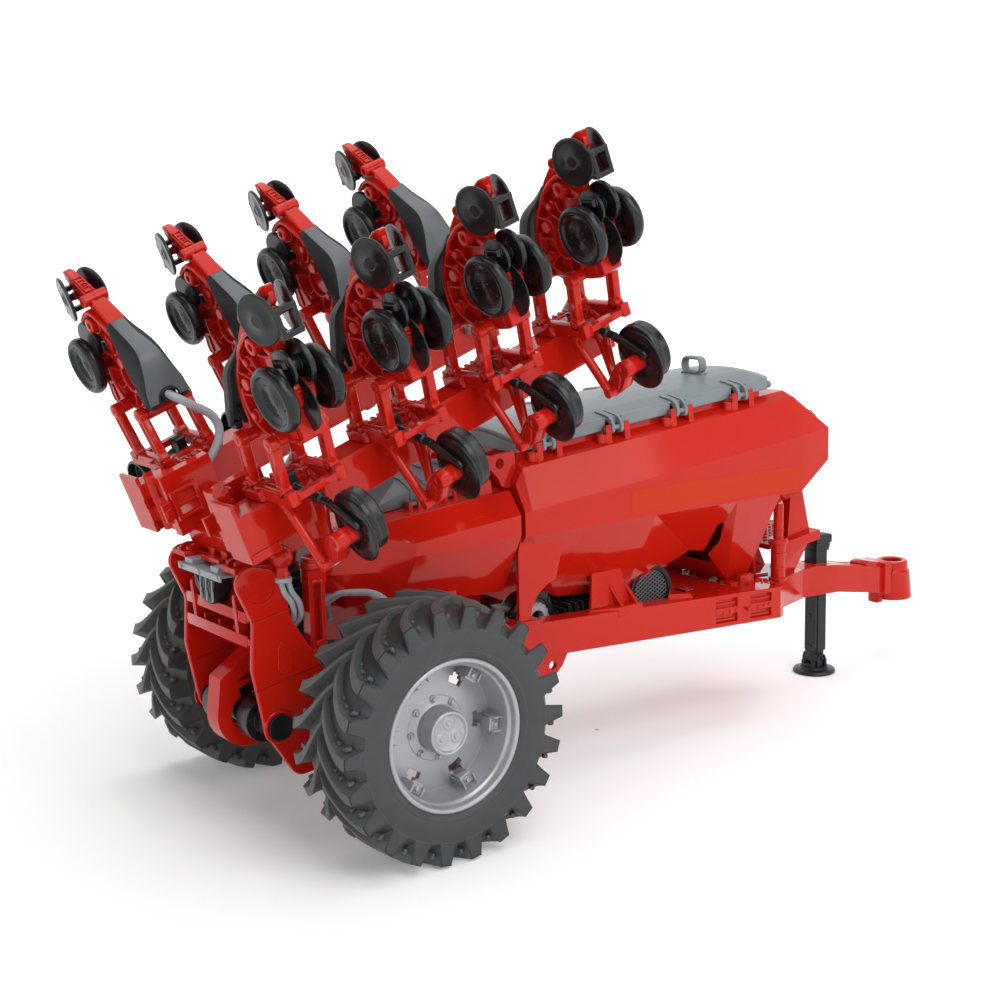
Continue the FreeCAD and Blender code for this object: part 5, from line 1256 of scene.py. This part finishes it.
coupling = join(plate(raised, -4.6, -3.6, 0.2), plate(raised, 3.6, 4.6, 0.2),
                plate(saddle, -5.4, 5.4, 0.5, 0.8),
                block(323.4, 328.3, -8.3, 8.3, 34.0, 50.8, 0.7),
                block(324.2, 327.8, -3.6, 3.6, 28.8, 34.6, 0.9),
                bolt((325.9, -3.4, 31.4), (0, -1, 0), 0.8, 0.6, False),
                lathe(bell, (COUPLING_X, 0, COUPLING_Z), (0, 0, 1), 64, caps=False), neck)
piece("coupling_trim", coupling, RED, "chassis", ["coupling"], 34)


def root_section(t):
    """Side of the drawbar's root: a hollow curve from the rails' ends to the bar."""
    x = 214.0 + 48.2 * t
    half = 8.75 + 31.0 * (1 - t) ** 2.35
    low = 47.5 - 4.7 * t + 1.6 * math.sin(math.pi * t)
    high = 61.6 - 4.4 * t
    e = 0.9
    right = [(half - e, low), (half, low + e), (half, high - e), (half - e, high)]
    return [(x, y, z) for y, z in right] + [(x, -y, z) for y, z in reversed(right)]


ROOT_STEPS = 20
root = loft([root_section(k / ROOT_STEPS) for k in range(ROOT_STEPS + 1)])
piece("drawbar_root", root, RED, "chassis", (), 40)
print("drawbar: coupling at x", COUPLING_X)

# %% [markdown]
# ## Jack
# The parking jack is a dark square sleeve with a stepped cap and an open channel at its
# back. A thinner leg comes out of it and ends in a round foot between two slotted ears.

# %% Parking jack
JACK_X = 280.5


def square(half, z0, z1, edge):
    """Upright square post about the jack's own line."""
    return block(JACK_X - half, JACK_X + half, -half, half, z0, z1, edge)


def jack_lump():
    x = JACK_X
    upright = Matrix(((1, 0, 0, 0), (0, 0, 1, 0), (0, 1, 0, 0), (0, 0, 0, 1)))
    corners = [(x - 2.9, -2.9), (x + 2.9, -2.9), (x + 2.9, 2.9), (x - 2.9, 2.9)]
    cap = rounded([(x - 5.7, 66.7), (x + 5.7, 66.7), (x + 5.7, 71.3), (x - 5.7, 71.3)], 1.1)
    lumps = [moved(hoop(corners, 2.2, 11.6, 40.5, 0.3), upright),
             block(x - 1.8, x + 4.0, -3.9, 3.9, 11.4, 40.5, 0.3),
             square(4.0, 40.3, 63.6, 0.4), square(4.7, 62.9, 64.8, 0.5),
             square(5.0, 64.6, 66.9, 0.5), plate(cap, -5.7, 5.7, 0.8),
             square(3.3, 6.0, 12.5, 0.3)]
    lumps += [block(x - 3.9, x - 1.2, -1.1, 1.1, z, z + 1.0, 0.2) for z in (29.2, 13.6)]
    arch = [(x - 2.6, 3.0), (x + 2.6, 3.0), (x + 2.6, 7.4), (x + 1.9, 9.3), (x, 10.1),
            (x - 1.9, 9.3), (x - 2.6, 7.4)]
    for side in (-1, 1):
        lumps.append(block(x - 4.9, x + 4.9, side * 3.2 - 1.0, side * 3.2 + 1.0, 2.6, 6.6, 0.4))
        y0, y1 = sorted((side * 4.0, side * 5.4))
        lumps.append(hoop(rounded(arch, 0.6, 3), 1.3, y0, y1, 0.25))
    lumps.append(block(x - 5.3, x + 5.3, -3.6, 3.6, 2.4, 5.0, 0.4))
    dish = [(0.5, 0.0), (9.6, 0.0), (10.5, 0.35), (10.6, 1.1), (10.2, 1.9), (9.4, 2.2), (7.6, 2.5),
            (6.6, 3.4), (0.5, 3.6)]
    lumps.append(lathe(dish, (x, 0, 0), (0, 0, 1), 56))
    return join(*lumps)


piece("jack_leg", jack_lump(), JACK_GREY, "jack", ["jack"], 32)
print("jack dressed")

# %% [markdown]
# ## Fan and ducts
# Under the hopper sits a black fan: a round inlet behind a diamond mesh, a ribbed motor
# block and, behind it, a six-sided flange with a pale ribbed hub. The mesh is two families
# of thin rods cut to the circle's chords.

# %% Inlet mesh
FAN_X, FAN_Y, FAN_Z = 150.0, -22.0, 67.2
MESH_RADIUS, MESH_PITCH, MESH_SLANT = 9.9, 1.5, math.radians(32)


def mesh_rods():
    """Two slanting families of thin rods, each cut to the inlet's circle."""
    lumps, each_way = [], int(MESH_RADIUS / MESH_PITCH)
    for s in (-1, 1):
        d = Vector((math.cos(MESH_SLANT), 0, s * math.sin(MESH_SLANT)))
        n = Vector((-d.z, 0, d.x))
        for k in range(-each_way, each_way + 1):
            reach = math.sqrt(max(0.0, MESH_RADIUS ** 2 - (k * MESH_PITCH) ** 2))
            c = Vector((FAN_X, FAN_Y - 0.2 - 0.12 * s, FAN_Z)) + n * (k * MESH_PITCH)
            if reach > 1:
                lumps.append(lathe([(0.24, 0), (0.24, 2 * reach)], c - d * reach, d, 5, caps=False))
    return lumps


rods = mesh_rods()
print("fan mesh rods:", len(rods))

# %% Housing, flange and hub
HUB_X = 83.0                       # the duct's round flange, level with the inlet


def about_hub(profile, n, **more):
    return lathe(profile, (HUB_X, 0, FAN_Z), (0, 1, 0), n, **more)


inlet = [(9.6, -0.6), (9.9, -1.3), (11.4, -1.6), (12.0, -1.2), (12.3, 0.0), (12.2, 1.6),
         (11.8, 2.0), (11.6, 24.0), (10.8, 31.0), (4.0, 32.0)]
fan = [lathe(inlet, (FAN_X, FAN_Y, FAN_Z), (0, 1, 0), 72, caps=False)]
fan += [block(104, FAN_X, -14, 10, 58.6, 73.4, 0.8), block(100, 121, -24, -8, 58.6, 67.6, 0.8)]
fan += [block(x, x + 1.3, -25.9, -6, 58.6, 70.2, 0.4)
        for x in (100.6, 104.3, 108.0, 111.7, 115.4, 119.1, 122.0)]
fan += [block(124.6, 136.0, -22.0, -14.0, 60.0, 70.6, 0.7),
        block(96, 102, -31.4, 31.4, 58.7, 62.4, 0.5)]
fan += [block(x, x + 1.0, -23.0, -13.5, 60.6, 70.0, 0.2) for x in (126.5, 129.3, 132.1)]
fan.append(block(84, 106, -20, 8, 58.6, 66.0, 0.6))
fan.append(about_hub([(12.2, -24.0), (12.6, -23.6), (12.6, -21.8), (12.2, -21.4)], 6,
                     turn=math.radians(8)))
fan.append(about_hub([(9.4, -24.6), (9.7, -24.3), (9.7, -14.0), (9.2, -13.0), (0.5, -13.0)], 48,
                     caps=False))
fan.append(about_hub([(9.4, -24.6), (8.6, -24.6), (8.3, -24.0), (8.3, -16.0), (0.5, -16.0)], 48,
                     caps=False))
for k in range(6):
    a = math.radians(60 * k + 38)
    fan.append(bolt((HUB_X + 10.7 * math.cos(a), -24.0, FAN_Z + 10.7 * math.sin(a)), (0, -1, 0),
                    0.7, 0.6, False))
hub = [about_hub([(5.6, -27.0), (6.2, -26.6), (6.3, -18.0), (5.0, -17.0)], 40, caps=False),
       about_hub([(5.6, -27.0), (3.4, -27.2), (3.0, -26.2), (3.0, -18.0)], 40, caps=False)]
for k in range(16):
    c, s = math.cos(2 * math.pi * k / 16), math.sin(2 * math.pi * k / 16)
    hub.append(bar(*[(HUB_X + 6.3 * c, y, FAN_Z + 6.3 * s) for y in (-26.4, -18.0)], 0.9, 0.9, 0.2))
# A near-black disc closes the inlet behind the mesh: painted shade for the inside of the fan.
inlet_shade_disc = lathe([(9.8, 0.9), (9.8, 1.6)], (FAN_X, FAN_Y, FAN_Z), (0, 1, 0), 48)
piece("fan_housing", join(*fan), BLACK, "chassis", ["blower"], 32)
piece("fan_mesh", join(*rods), MESH_GREY, "chassis", (), 32)
piece("fan_inlet_shade_disc", inlet_shade_disc, SHADOW, "chassis", (), 32)
piece("fan_hub", join(*hub), LIGHT, "chassis", (), 32)
print("fan and ducts dressed")

# %% [markdown]
# ## Rear frame
# The lifting frame hangs between two shaped side plates. Each plate is one thick moulding
# with a raised pad, a curved seam at the top, a low round boss and fine straight seams. A
# seam is a hair-thin rod half sunk in the plate, which reads as a line from any side.

# %% Side plates
SIDE = [(-41.0, 107.5), (-52.0, 110.5), (-57.0, 104.0), (-50.0, 88.0), (-51.2, 70.0),
        (-46.5, 45.0), (-34.0, 25.5), (-23.0, 27.0), (-16.5, 42.0), (-16.5, 72.0),
        (-26.0, 74.5), (-34.0, 88.0), (-36.0, 100.0)]
SIDE_IN, SIDE_OUT = 25.8, 28.2


def side_plate():
    lumps = [plate(SIDE, SIDE_IN, SIDE_OUT, 0.5, 6.0)]
    pad = [(-40.7, 69.2), (-40.4, 78.4), (-38.2, 80.0), (-33.9, 74.4), (-34.6, 67.6), (-38.8, 66.8)]
    lumps.append(plate(pad, 28.0, 28.75, 0.3, 1.4))
    arc = [(-46.6 + 6.3 * math.cos(a), 28.15, 101.6 + 6.3 * math.sin(a))
           for a in (math.radians(165 + 13 * k) for k in range(16))]
    lumps.append(tube(arc, 0.22, 6, 1))
    for (x0, z0), (x1, z1) in (((-50.6, 88.6), (-35.4, 91.4)), ((-50.8, 62.0), (-17.2, 68.6)),
                               ((-38.8, 32.2), (-21.0, 38.6))):
        along = math.hypot(x1 - x0, z1 - z0)
        seam = [(0.12, 0), (0.16, 1), (0.16, along - 1), (0.1, along)]
        lumps += [lathe(seam, (x0, y, z0), (x1 - x0, 0, z1 - z0), 6) for y in (SIDE_IN, SIDE_OUT)]
    boss = [(6.6, -0.1), (6.6, 0.5), (6.2, 0.8), (5.2, 0.8), (5.1, 0.0)]
    lumps.append(lathe(boss, (-41.0, SIDE_OUT, 47.0), (0, 1, 0), 40, caps=False))
    return join(*lumps)


piece("side_plates_trim", both(side_plate()), RED, "rear_frame",
      ["rear_side_plates"], 34)
print("side plates with their seams")

# %% [markdown]
# The struts that carry the folded wings have stepped collars. Between the plates a ladder
# of two wide steps climbs to the latch, and small plates lock the latch bar. All of it is
# plain blocks and turned collars, joined to one mesh because nothing in it moves alone.

# %% Struts, steps and locking plates
STRUT_X = -21.0
struts = [lathe([(r - 0.35, 0), (r, 0.35), (r, high - 0.35), (r - 0.35, high)],
                (STRUT_X, 23.0, z), (0, 0, 1), 36)
          for z, r, high in ((98.8, 4.1, 1.6), (104.4, 5.0, 1.3), (107.6, 4.3, 0.9))]
struts += [block(-24.9, -16.9, 20.0, 26.1, 98.2, 103.9, 0.5),
           block(-23.6, -18.2, 25.2, 26.2, 72.8, 76.6, 0.4)]
struts.append(lathe([(1.6, -0.2), (1.6, 0.5), (1.3, 0.7)], (-20.9, 26.0, 75.0), (0, 1, 0), 20))
STEPS = (79.5, 88.5)
steps = [block(-50.9, -49.7, -24.2, 24.2, z - 0.9, z + 3.3, 0.5) for z in STEPS]
steps += [block(-50.4, -41.0, -24.2, 24.2, z + 2.3, z + 3.0, 0.3) for z in STEPS]
steps += [block(-49.6, -41.0, y - 0.6, y + 0.6, 82.0, 84.6, 0.3) for y in (-12.0, 0.0, 12.0)]
claw = [(-53.2, 108.9), (-39.0, 108.9), (-39.0, 111.2), (-43.0, 112.0), (-46.0, 111.0),
        (-50.0, 111.4), (-53.2, 110.4)]
lock = [plate(claw, y - 0.9, y + 0.9, 0.25, 0.5) for y in (-22.0, -16.4, 16.4, 22.0)]
lock += [block(-48.8, -40.0, y - 2.4, y + 2.4, 108.8, 111.4, 0.3) for y in (-5.0, 5.0)]
trim = join(both(*struts), *steps, *lock)
piece("rear_frame_trim", trim, RED, "rear_frame", (), 34)
print("steps:", len(STEPS))

# %% [markdown]
# The grey latch tray bridges the plates, with two blocks on it and three studs on its
# front. A dark catch hangs below, wide at the tray and narrow at its tip, so it is a loft
# of three rectangles with a slanting bar along each side.

# %% Latch tray and catch
tray = [block(-57.0, -47.4, -17.4, 17.4, 104.2, 105.2, 0.3),
        block(-56.9, -56.2, -17.4, 17.4, 102.9, 105.4, 0.25)]
tray += [block(-55.9, -50.2, y - 3.0, y + 3.0, 105.0, 107.6, 0.5) for y in (-10.5, 10.5)]
tray += [lathe([(1.1, 0), (1.1, 0.4), (0.8, 0.6)], (-56.9, y, 104.1), (-1, 0, 0), 20)
         for y in (-15.0, 0.0, 15.0)]
tray += [block(-55.2, -54.4, y - 0.3, y + 0.3, 93.0, 104.4, 0.1) for y in (-6.4, -1.8, 2.8)]
piece("latch_trim", join(*tray), LIGHT, "rear_frame", ["latch_bar"], 32)
catch = [loft([[(x, -half, z), (x, half, z), (-47.2, half, z), (-47.2, -half, z)]
               for x, half, z in ((-54.6, 9.0, 104.4), (-54.9, 7.4, 98.0), (-53.5, 2.6, 91.4))])]
catch += [bar((-55.0, y, 103.6), (-54.6, 0.0, 96.0), 1.0, 0.8, 0.2) for y in (-8.4, 8.4)]
piece("latch_catch", join(*catch), JACK_GREY, "rear_frame", (), 32)
print("latch tray and catch placed")

# %% [markdown]
# On the right stands a red ball on a short neck, and two grey hose strands leave its
# collar and bend down into the frame. The ball is half a circle of points, turned.

# %% Feed ball and its elbow
BALL_X, BALL_R = -36.6, 4.6
half_circle = [(BALL_R * math.cos(a), BALL_R * math.sin(a))
               for a in (math.radians(10 * k) for k in range(-8, 9))]
ball = lathe([(0.01, -BALL_R), *half_circle, (0.01, BALL_R)], (BALL_X, -27.0, 111.4),
             (0, 0, 1), 40, caps=False)
neck = lathe([(3.1, 0), (3.3, 0.4), (2.6, 2.6), (2.2, 4.6)], (BALL_X, -27.0, 103.8), (0, 0, 1), 32)
piece("feed_knob", join(ball, neck), RED, "rear_frame", ["feed_head"], 40)
cuff = [(2.9, 0), (3.4, 0.3), (3.4, 1.7), (2.9, 2.1)]
elbow = [lathe(cuff, (BALL_X, -28.0, 101.9), (0, 0, 1), 32)]
bend = ((-36.4, -28.4, 102.4), (-35.0, -28.6, 97.8), (-31.8, -28.2, 93.0), (-29.6, -25.0, 87.0),
        (-30.0, -20.6, 82.6))
elbow += [tube([(x + aside, y, z) for x, y, z in bend], 1.15, 14, 5) for aside in (-1.5, 1.5)]
piece("feed_elbow", join(*elbow), LIGHT, "rear_frame", (), 40)
print("feed ball placed")

# %% [markdown]
# High on each side of the fold column sits a small vent. It is drawn upright, with rails,
# posts and two slanting slats, and the whole of it is then leaned with the wings.

# %% Fold vents
def louvre_lump():
    """Vent drawn upright, u along the folded wing's foot and n up the wing."""
    u0, u1, n0, n1 = -9.8, 2.2, 132.6, 144.6
    lumps = [block(u0 + 0.6, u1 - 0.6, 15.75, 18.2, n, n + 1.5, 0.3)
             for n in (n0 + 0.1, (n0 + n1) / 2 - 0.75, n1 - 1.6)]
    lumps += [block(u, u + 1.9, 15.5, 18.2, n0, n1, 0.3) for u in (u0, u1 - 1.9)]
    for n in (n0 + 1.2, (n0 + n1) / 2 + 0.4):
        lumps.append(loft([[(u, 15.9, n), (u, 16.5, n), (u, 18.2, n + 3.4), (u, 17.6, n + 4.0)]
                           for u in (u0 + 1.0, u1 - 1.0)]))
    lumps.append(block(u0 - 4.6, u0 - 0.2, 16.4, 18.2, n0 + 1.4, n1 - 3.0, 0.4))
    lumps.append(block(u0 - 3.8, u0 - 1.4, 16.0, 16.6, n0 + 3.6, n0 + 6.2, 0.2))
    c, s = math.cos(REST), math.sin(REST)
    return moved(join(*lumps), Matrix(((c, 0, -s, 0), (0, 1, 0, 0), (s, 0, c, 0), (0, 0, 0, 1))))


piece("fold_vents", both(louvre_lump()), RED, "rear_frame", (), 34)
print("fold vents leaned by", round(math.degrees(REST), 1), "degrees")

# %% [markdown]
# The hopper stands on the rails on two gusseted feet: a thick base with a lip, a sloping
# back and two three-cornered webs.

# %% Hopper feet
def foot_lump():
    z = rail_foot(118) + 14.55
    lay = Matrix(((1, 0, 0, 0), (0, 0, 1, 0), (0, 1, 0, 0), (0, 0, 0, 1)))
    base = [(104.0, 33.0), (129.6, 33.0), (130.2, 34.0), (130.2, 39.6), (115.6, 40.0), (104.0, 36.0)]
    lip = [(117.0, 38.2), (129.4, 37.6), (129.8, 39.9), (116.4, 40.15)]
    web = [(26.8, z + 0.9), (39.6, z + 0.9), (39.4, z + 1.7), (31.2, 76.3), (29.6, 77.2), (26.8, 77.2)]
    back = loft([[(x0, y, high), (x1, y, high), (x1, y + 1.4, high), (x0, y + 1.4, high)]
                 for x0, x1, y, high in ((106.0, 128.0, 33.2, z + 1.0), (112.0, 127.6, 26.6, 82.0))])
    return join(moved(plate(base, z, z + 1.5, 0.3), lay), moved(plate(lip, z - 3.0, z + 0.4, 0.3), lay),
                back, *[plate_yz(web, x, x + 1.5, 0.3, 0.5) for x in (118.6, 127.0)])


feet = both(foot_lump(), block(196, 208, 19.0, 26.0, 61.5, 63.9, 0.3))
piece("hopper_feet", feet, RED, "chassis", ["hopper_brackets"], 34)
print("hopper feet placed")

# %% [markdown]
# ## Studio
# The toy stands in a pale bowl: a flat floor that curves up far away all round, so no
# horizon line shows from any side. The bowl glows a little in its middle heights only.
# Its upper part stays dark, so that glossy plastic keeps a deep colour and shows the soft
# panels as clear stripes. Most light comes from one large panel overhead and one over the
# camera's shoulder. The bowl's glow isn't aimed at as a lamp would be: rays meet it often
# enough by themselves.

# %% The bowl's finish
BOWL_REACH = 4.0                   # metres over which the glow curve runs


def studio_white():
    mat = bpy.data.materials.new("studio_white")
    mat.cycles.emission_sampling = "NONE"
    mat.use_nodes = True
    nodes, links = mat.node_tree.nodes, mat.node_tree.links
    shader = nodes["Principled BSDF"]
    shader.inputs["Roughness"].default_value = 0.85
    shader.inputs["Specular IOR Level"].default_value = 0.15
    speck = nodes.new("ShaderNodeTexNoise")
    speck.inputs["Scale"].default_value = 3.0
    ramp = nodes.new("ShaderNodeValToRGB")
    ramp.color_ramp.elements[0].color = (0.86, 0.86, 0.865, 1)
    ramp.color_ramp.elements[1].color = (0.90, 0.90, 0.90, 1)
    links.new(speck.outputs["Fac"], ramp.inputs["Fac"])
    links.new(ramp.outputs["Color"], shader.inputs["Base Color"])
    links.new(ramp.outputs["Color"], shader.inputs["Emission Color"])
    place, reach = nodes.new("ShaderNodeTexCoord"), nodes.new("ShaderNodeVectorMath")
    glow = nodes.new("ShaderNodeFloatCurve")
    reach.operation = "LENGTH"
    links.new(place.outputs["Object"], reach.inputs[0])
    share = nodes.new("ShaderNodeMath")
    share.operation = "DIVIDE"
    share.inputs[1].default_value = BOWL_REACH
    links.new(reach.outputs["Value"], share.inputs[0])
    links.new(share.outputs["Value"], glow.inputs["Value"])
    curve = glow.mapping.curves[0]
    curve.points[0].location = (0.0, 0.18)
    curve.points[1].location = (1.0, 0.03)
    for quarter_way, strength in ((0.09, 0.18), (0.35, 0.68), (0.66, 0.74), (0.78, 0.03)):
        curve.points.new(quarter_way, strength)
    glow.mapping.update()
    links.new(glow.outputs["Value"], shader.inputs["Emission Strength"])
    return mat


print("glow curve runs over", BOWL_REACH, "m")

# %% Bowl and sky
FLAT, BEND, RIM_HEIGHT, BOWL_SIDES = 1.7, 1.0, 2.6, 96     # metres, and faces round
bowl_profile = [(0.001, 0.0), (FLAT, 0.0)]
bowl_profile += [(FLAT + BEND * math.sin(a), BEND - BEND * math.cos(a))
                 for a in (math.pi / 2 * k / 12 for k in range(1, 13))]
bowl_profile += [(FLAT + BEND, RIM_HEIGHT)]
verts, faces = lathe([(r * 1000, h * 1000) for r, h in bowl_profile], (0, 0, 0), (0, 0, 1),
                     BOWL_SIDES, caps=False)
verts = [(x / 1000, y / 1000, z / 1000) for x, y, z in verts]
middle = [(k, (k + 1) % BOWL_SIDES, len(verts)) for k in range(BOWL_SIDES)]
mesh = bpy.data.meshes.new("studio_bowl")
mesh.from_pydata(verts + [(0, 0, 0)], [], faces + middle)
mesh.polygons.foreach_set("use_smooth", [True] * len(mesh.polygons))
bowl = bpy.data.objects.new("studio_bowl", mesh)
bpy.context.scene.collection.objects.link(bowl)
mesh.materials.append(studio_white())

sky = bpy.data.worlds.new("studio_sky")
bpy.context.scene.world = sky
sky.use_nodes = True
sky.node_tree.nodes["Background"].inputs["Color"].default_value = (1, 1, 1, 1)
sky.node_tree.nodes["Background"].inputs["Strength"].default_value = 0.03
print("bowl:", len(mesh.polygons), "faces")

# %% [markdown]
# A wide panel gives a soft edge to each shadow and a long clean stripe on gloss, so all
# four lamps are panels, and all aim at the toy.

# %% Lights
def panel(name, at, aim, wide, high, watts):
    light = bpy.data.lights.new(name, "AREA")
    light.shape, light.size, light.size_y, light.energy = "RECTANGLE", wide, high, watts
    obj = bpy.data.objects.new(name, light)
    obj.location = at
    obj.rotation_euler = (Vector(aim) - Vector(at)).to_track_quat("-Z", "Y").to_euler()
    bpy.context.scene.collection.objects.link(obj)


panel("overhead", (0.1, 0.1, 1.25), (0, 0, 0.1), 1.3, 1.3, 11.4)
panel("near_side", (0.5, -1.25, 0.7), (0, 0, 0.12), 0.9, 0.5, 2.5)
panel("over_camera", (-0.2, -0.98, 1.05), (0, 0, 0.12), 0.8, 0.8, 8.6)
panel("far_side", (0.3, 1.1, 0.9), (0, 0, 0.12), 0.9, 0.6, 0.8)
print("studio: 4 panels")

# %% [markdown]
# The camera stands low beside the rear right wheel, a short telephoto step away, turned
# a touch about its own axis.

# %% Camera
lens = bpy.data.cameras.new("camera")
lens.lens, lens.sensor_width, lens.clip_start = 60.04, 36.0, 0.01
camera = bpy.data.objects.new("camera", lens)
azimuth, rise, roll = (math.radians(a) for a in (53.4197, 10.6707, -1.1483))
DISTANCE = 0.7085059               # metres from the point that it looks at
look = Vector((math.cos(rise) * math.cos(azimuth), math.cos(rise) * math.sin(azimuth),
               -math.sin(rise)))
right = look.cross(Vector((0, 0, 1))).normalized()
up = right.cross(look)
right, up = (right * math.cos(roll) + up * math.sin(roll),
             up * math.cos(roll) - right * math.sin(roll))
place = Vector((84.8994 + AXLE_X, 0, 113.3423)) / 1000 - look * DISTANCE
camera.matrix_world = Matrix(((right.x, up.x, -look.x, place.x), (right.y, up.y, -look.y, place.y),
                              (right.z, up.z, -look.z, place.z), (0, 0, 0, 1)))
bpy.context.scene.collection.objects.link(camera)
bpy.context.scene.camera = camera
bpy.context.scene.view_settings.view_transform = "Standard"
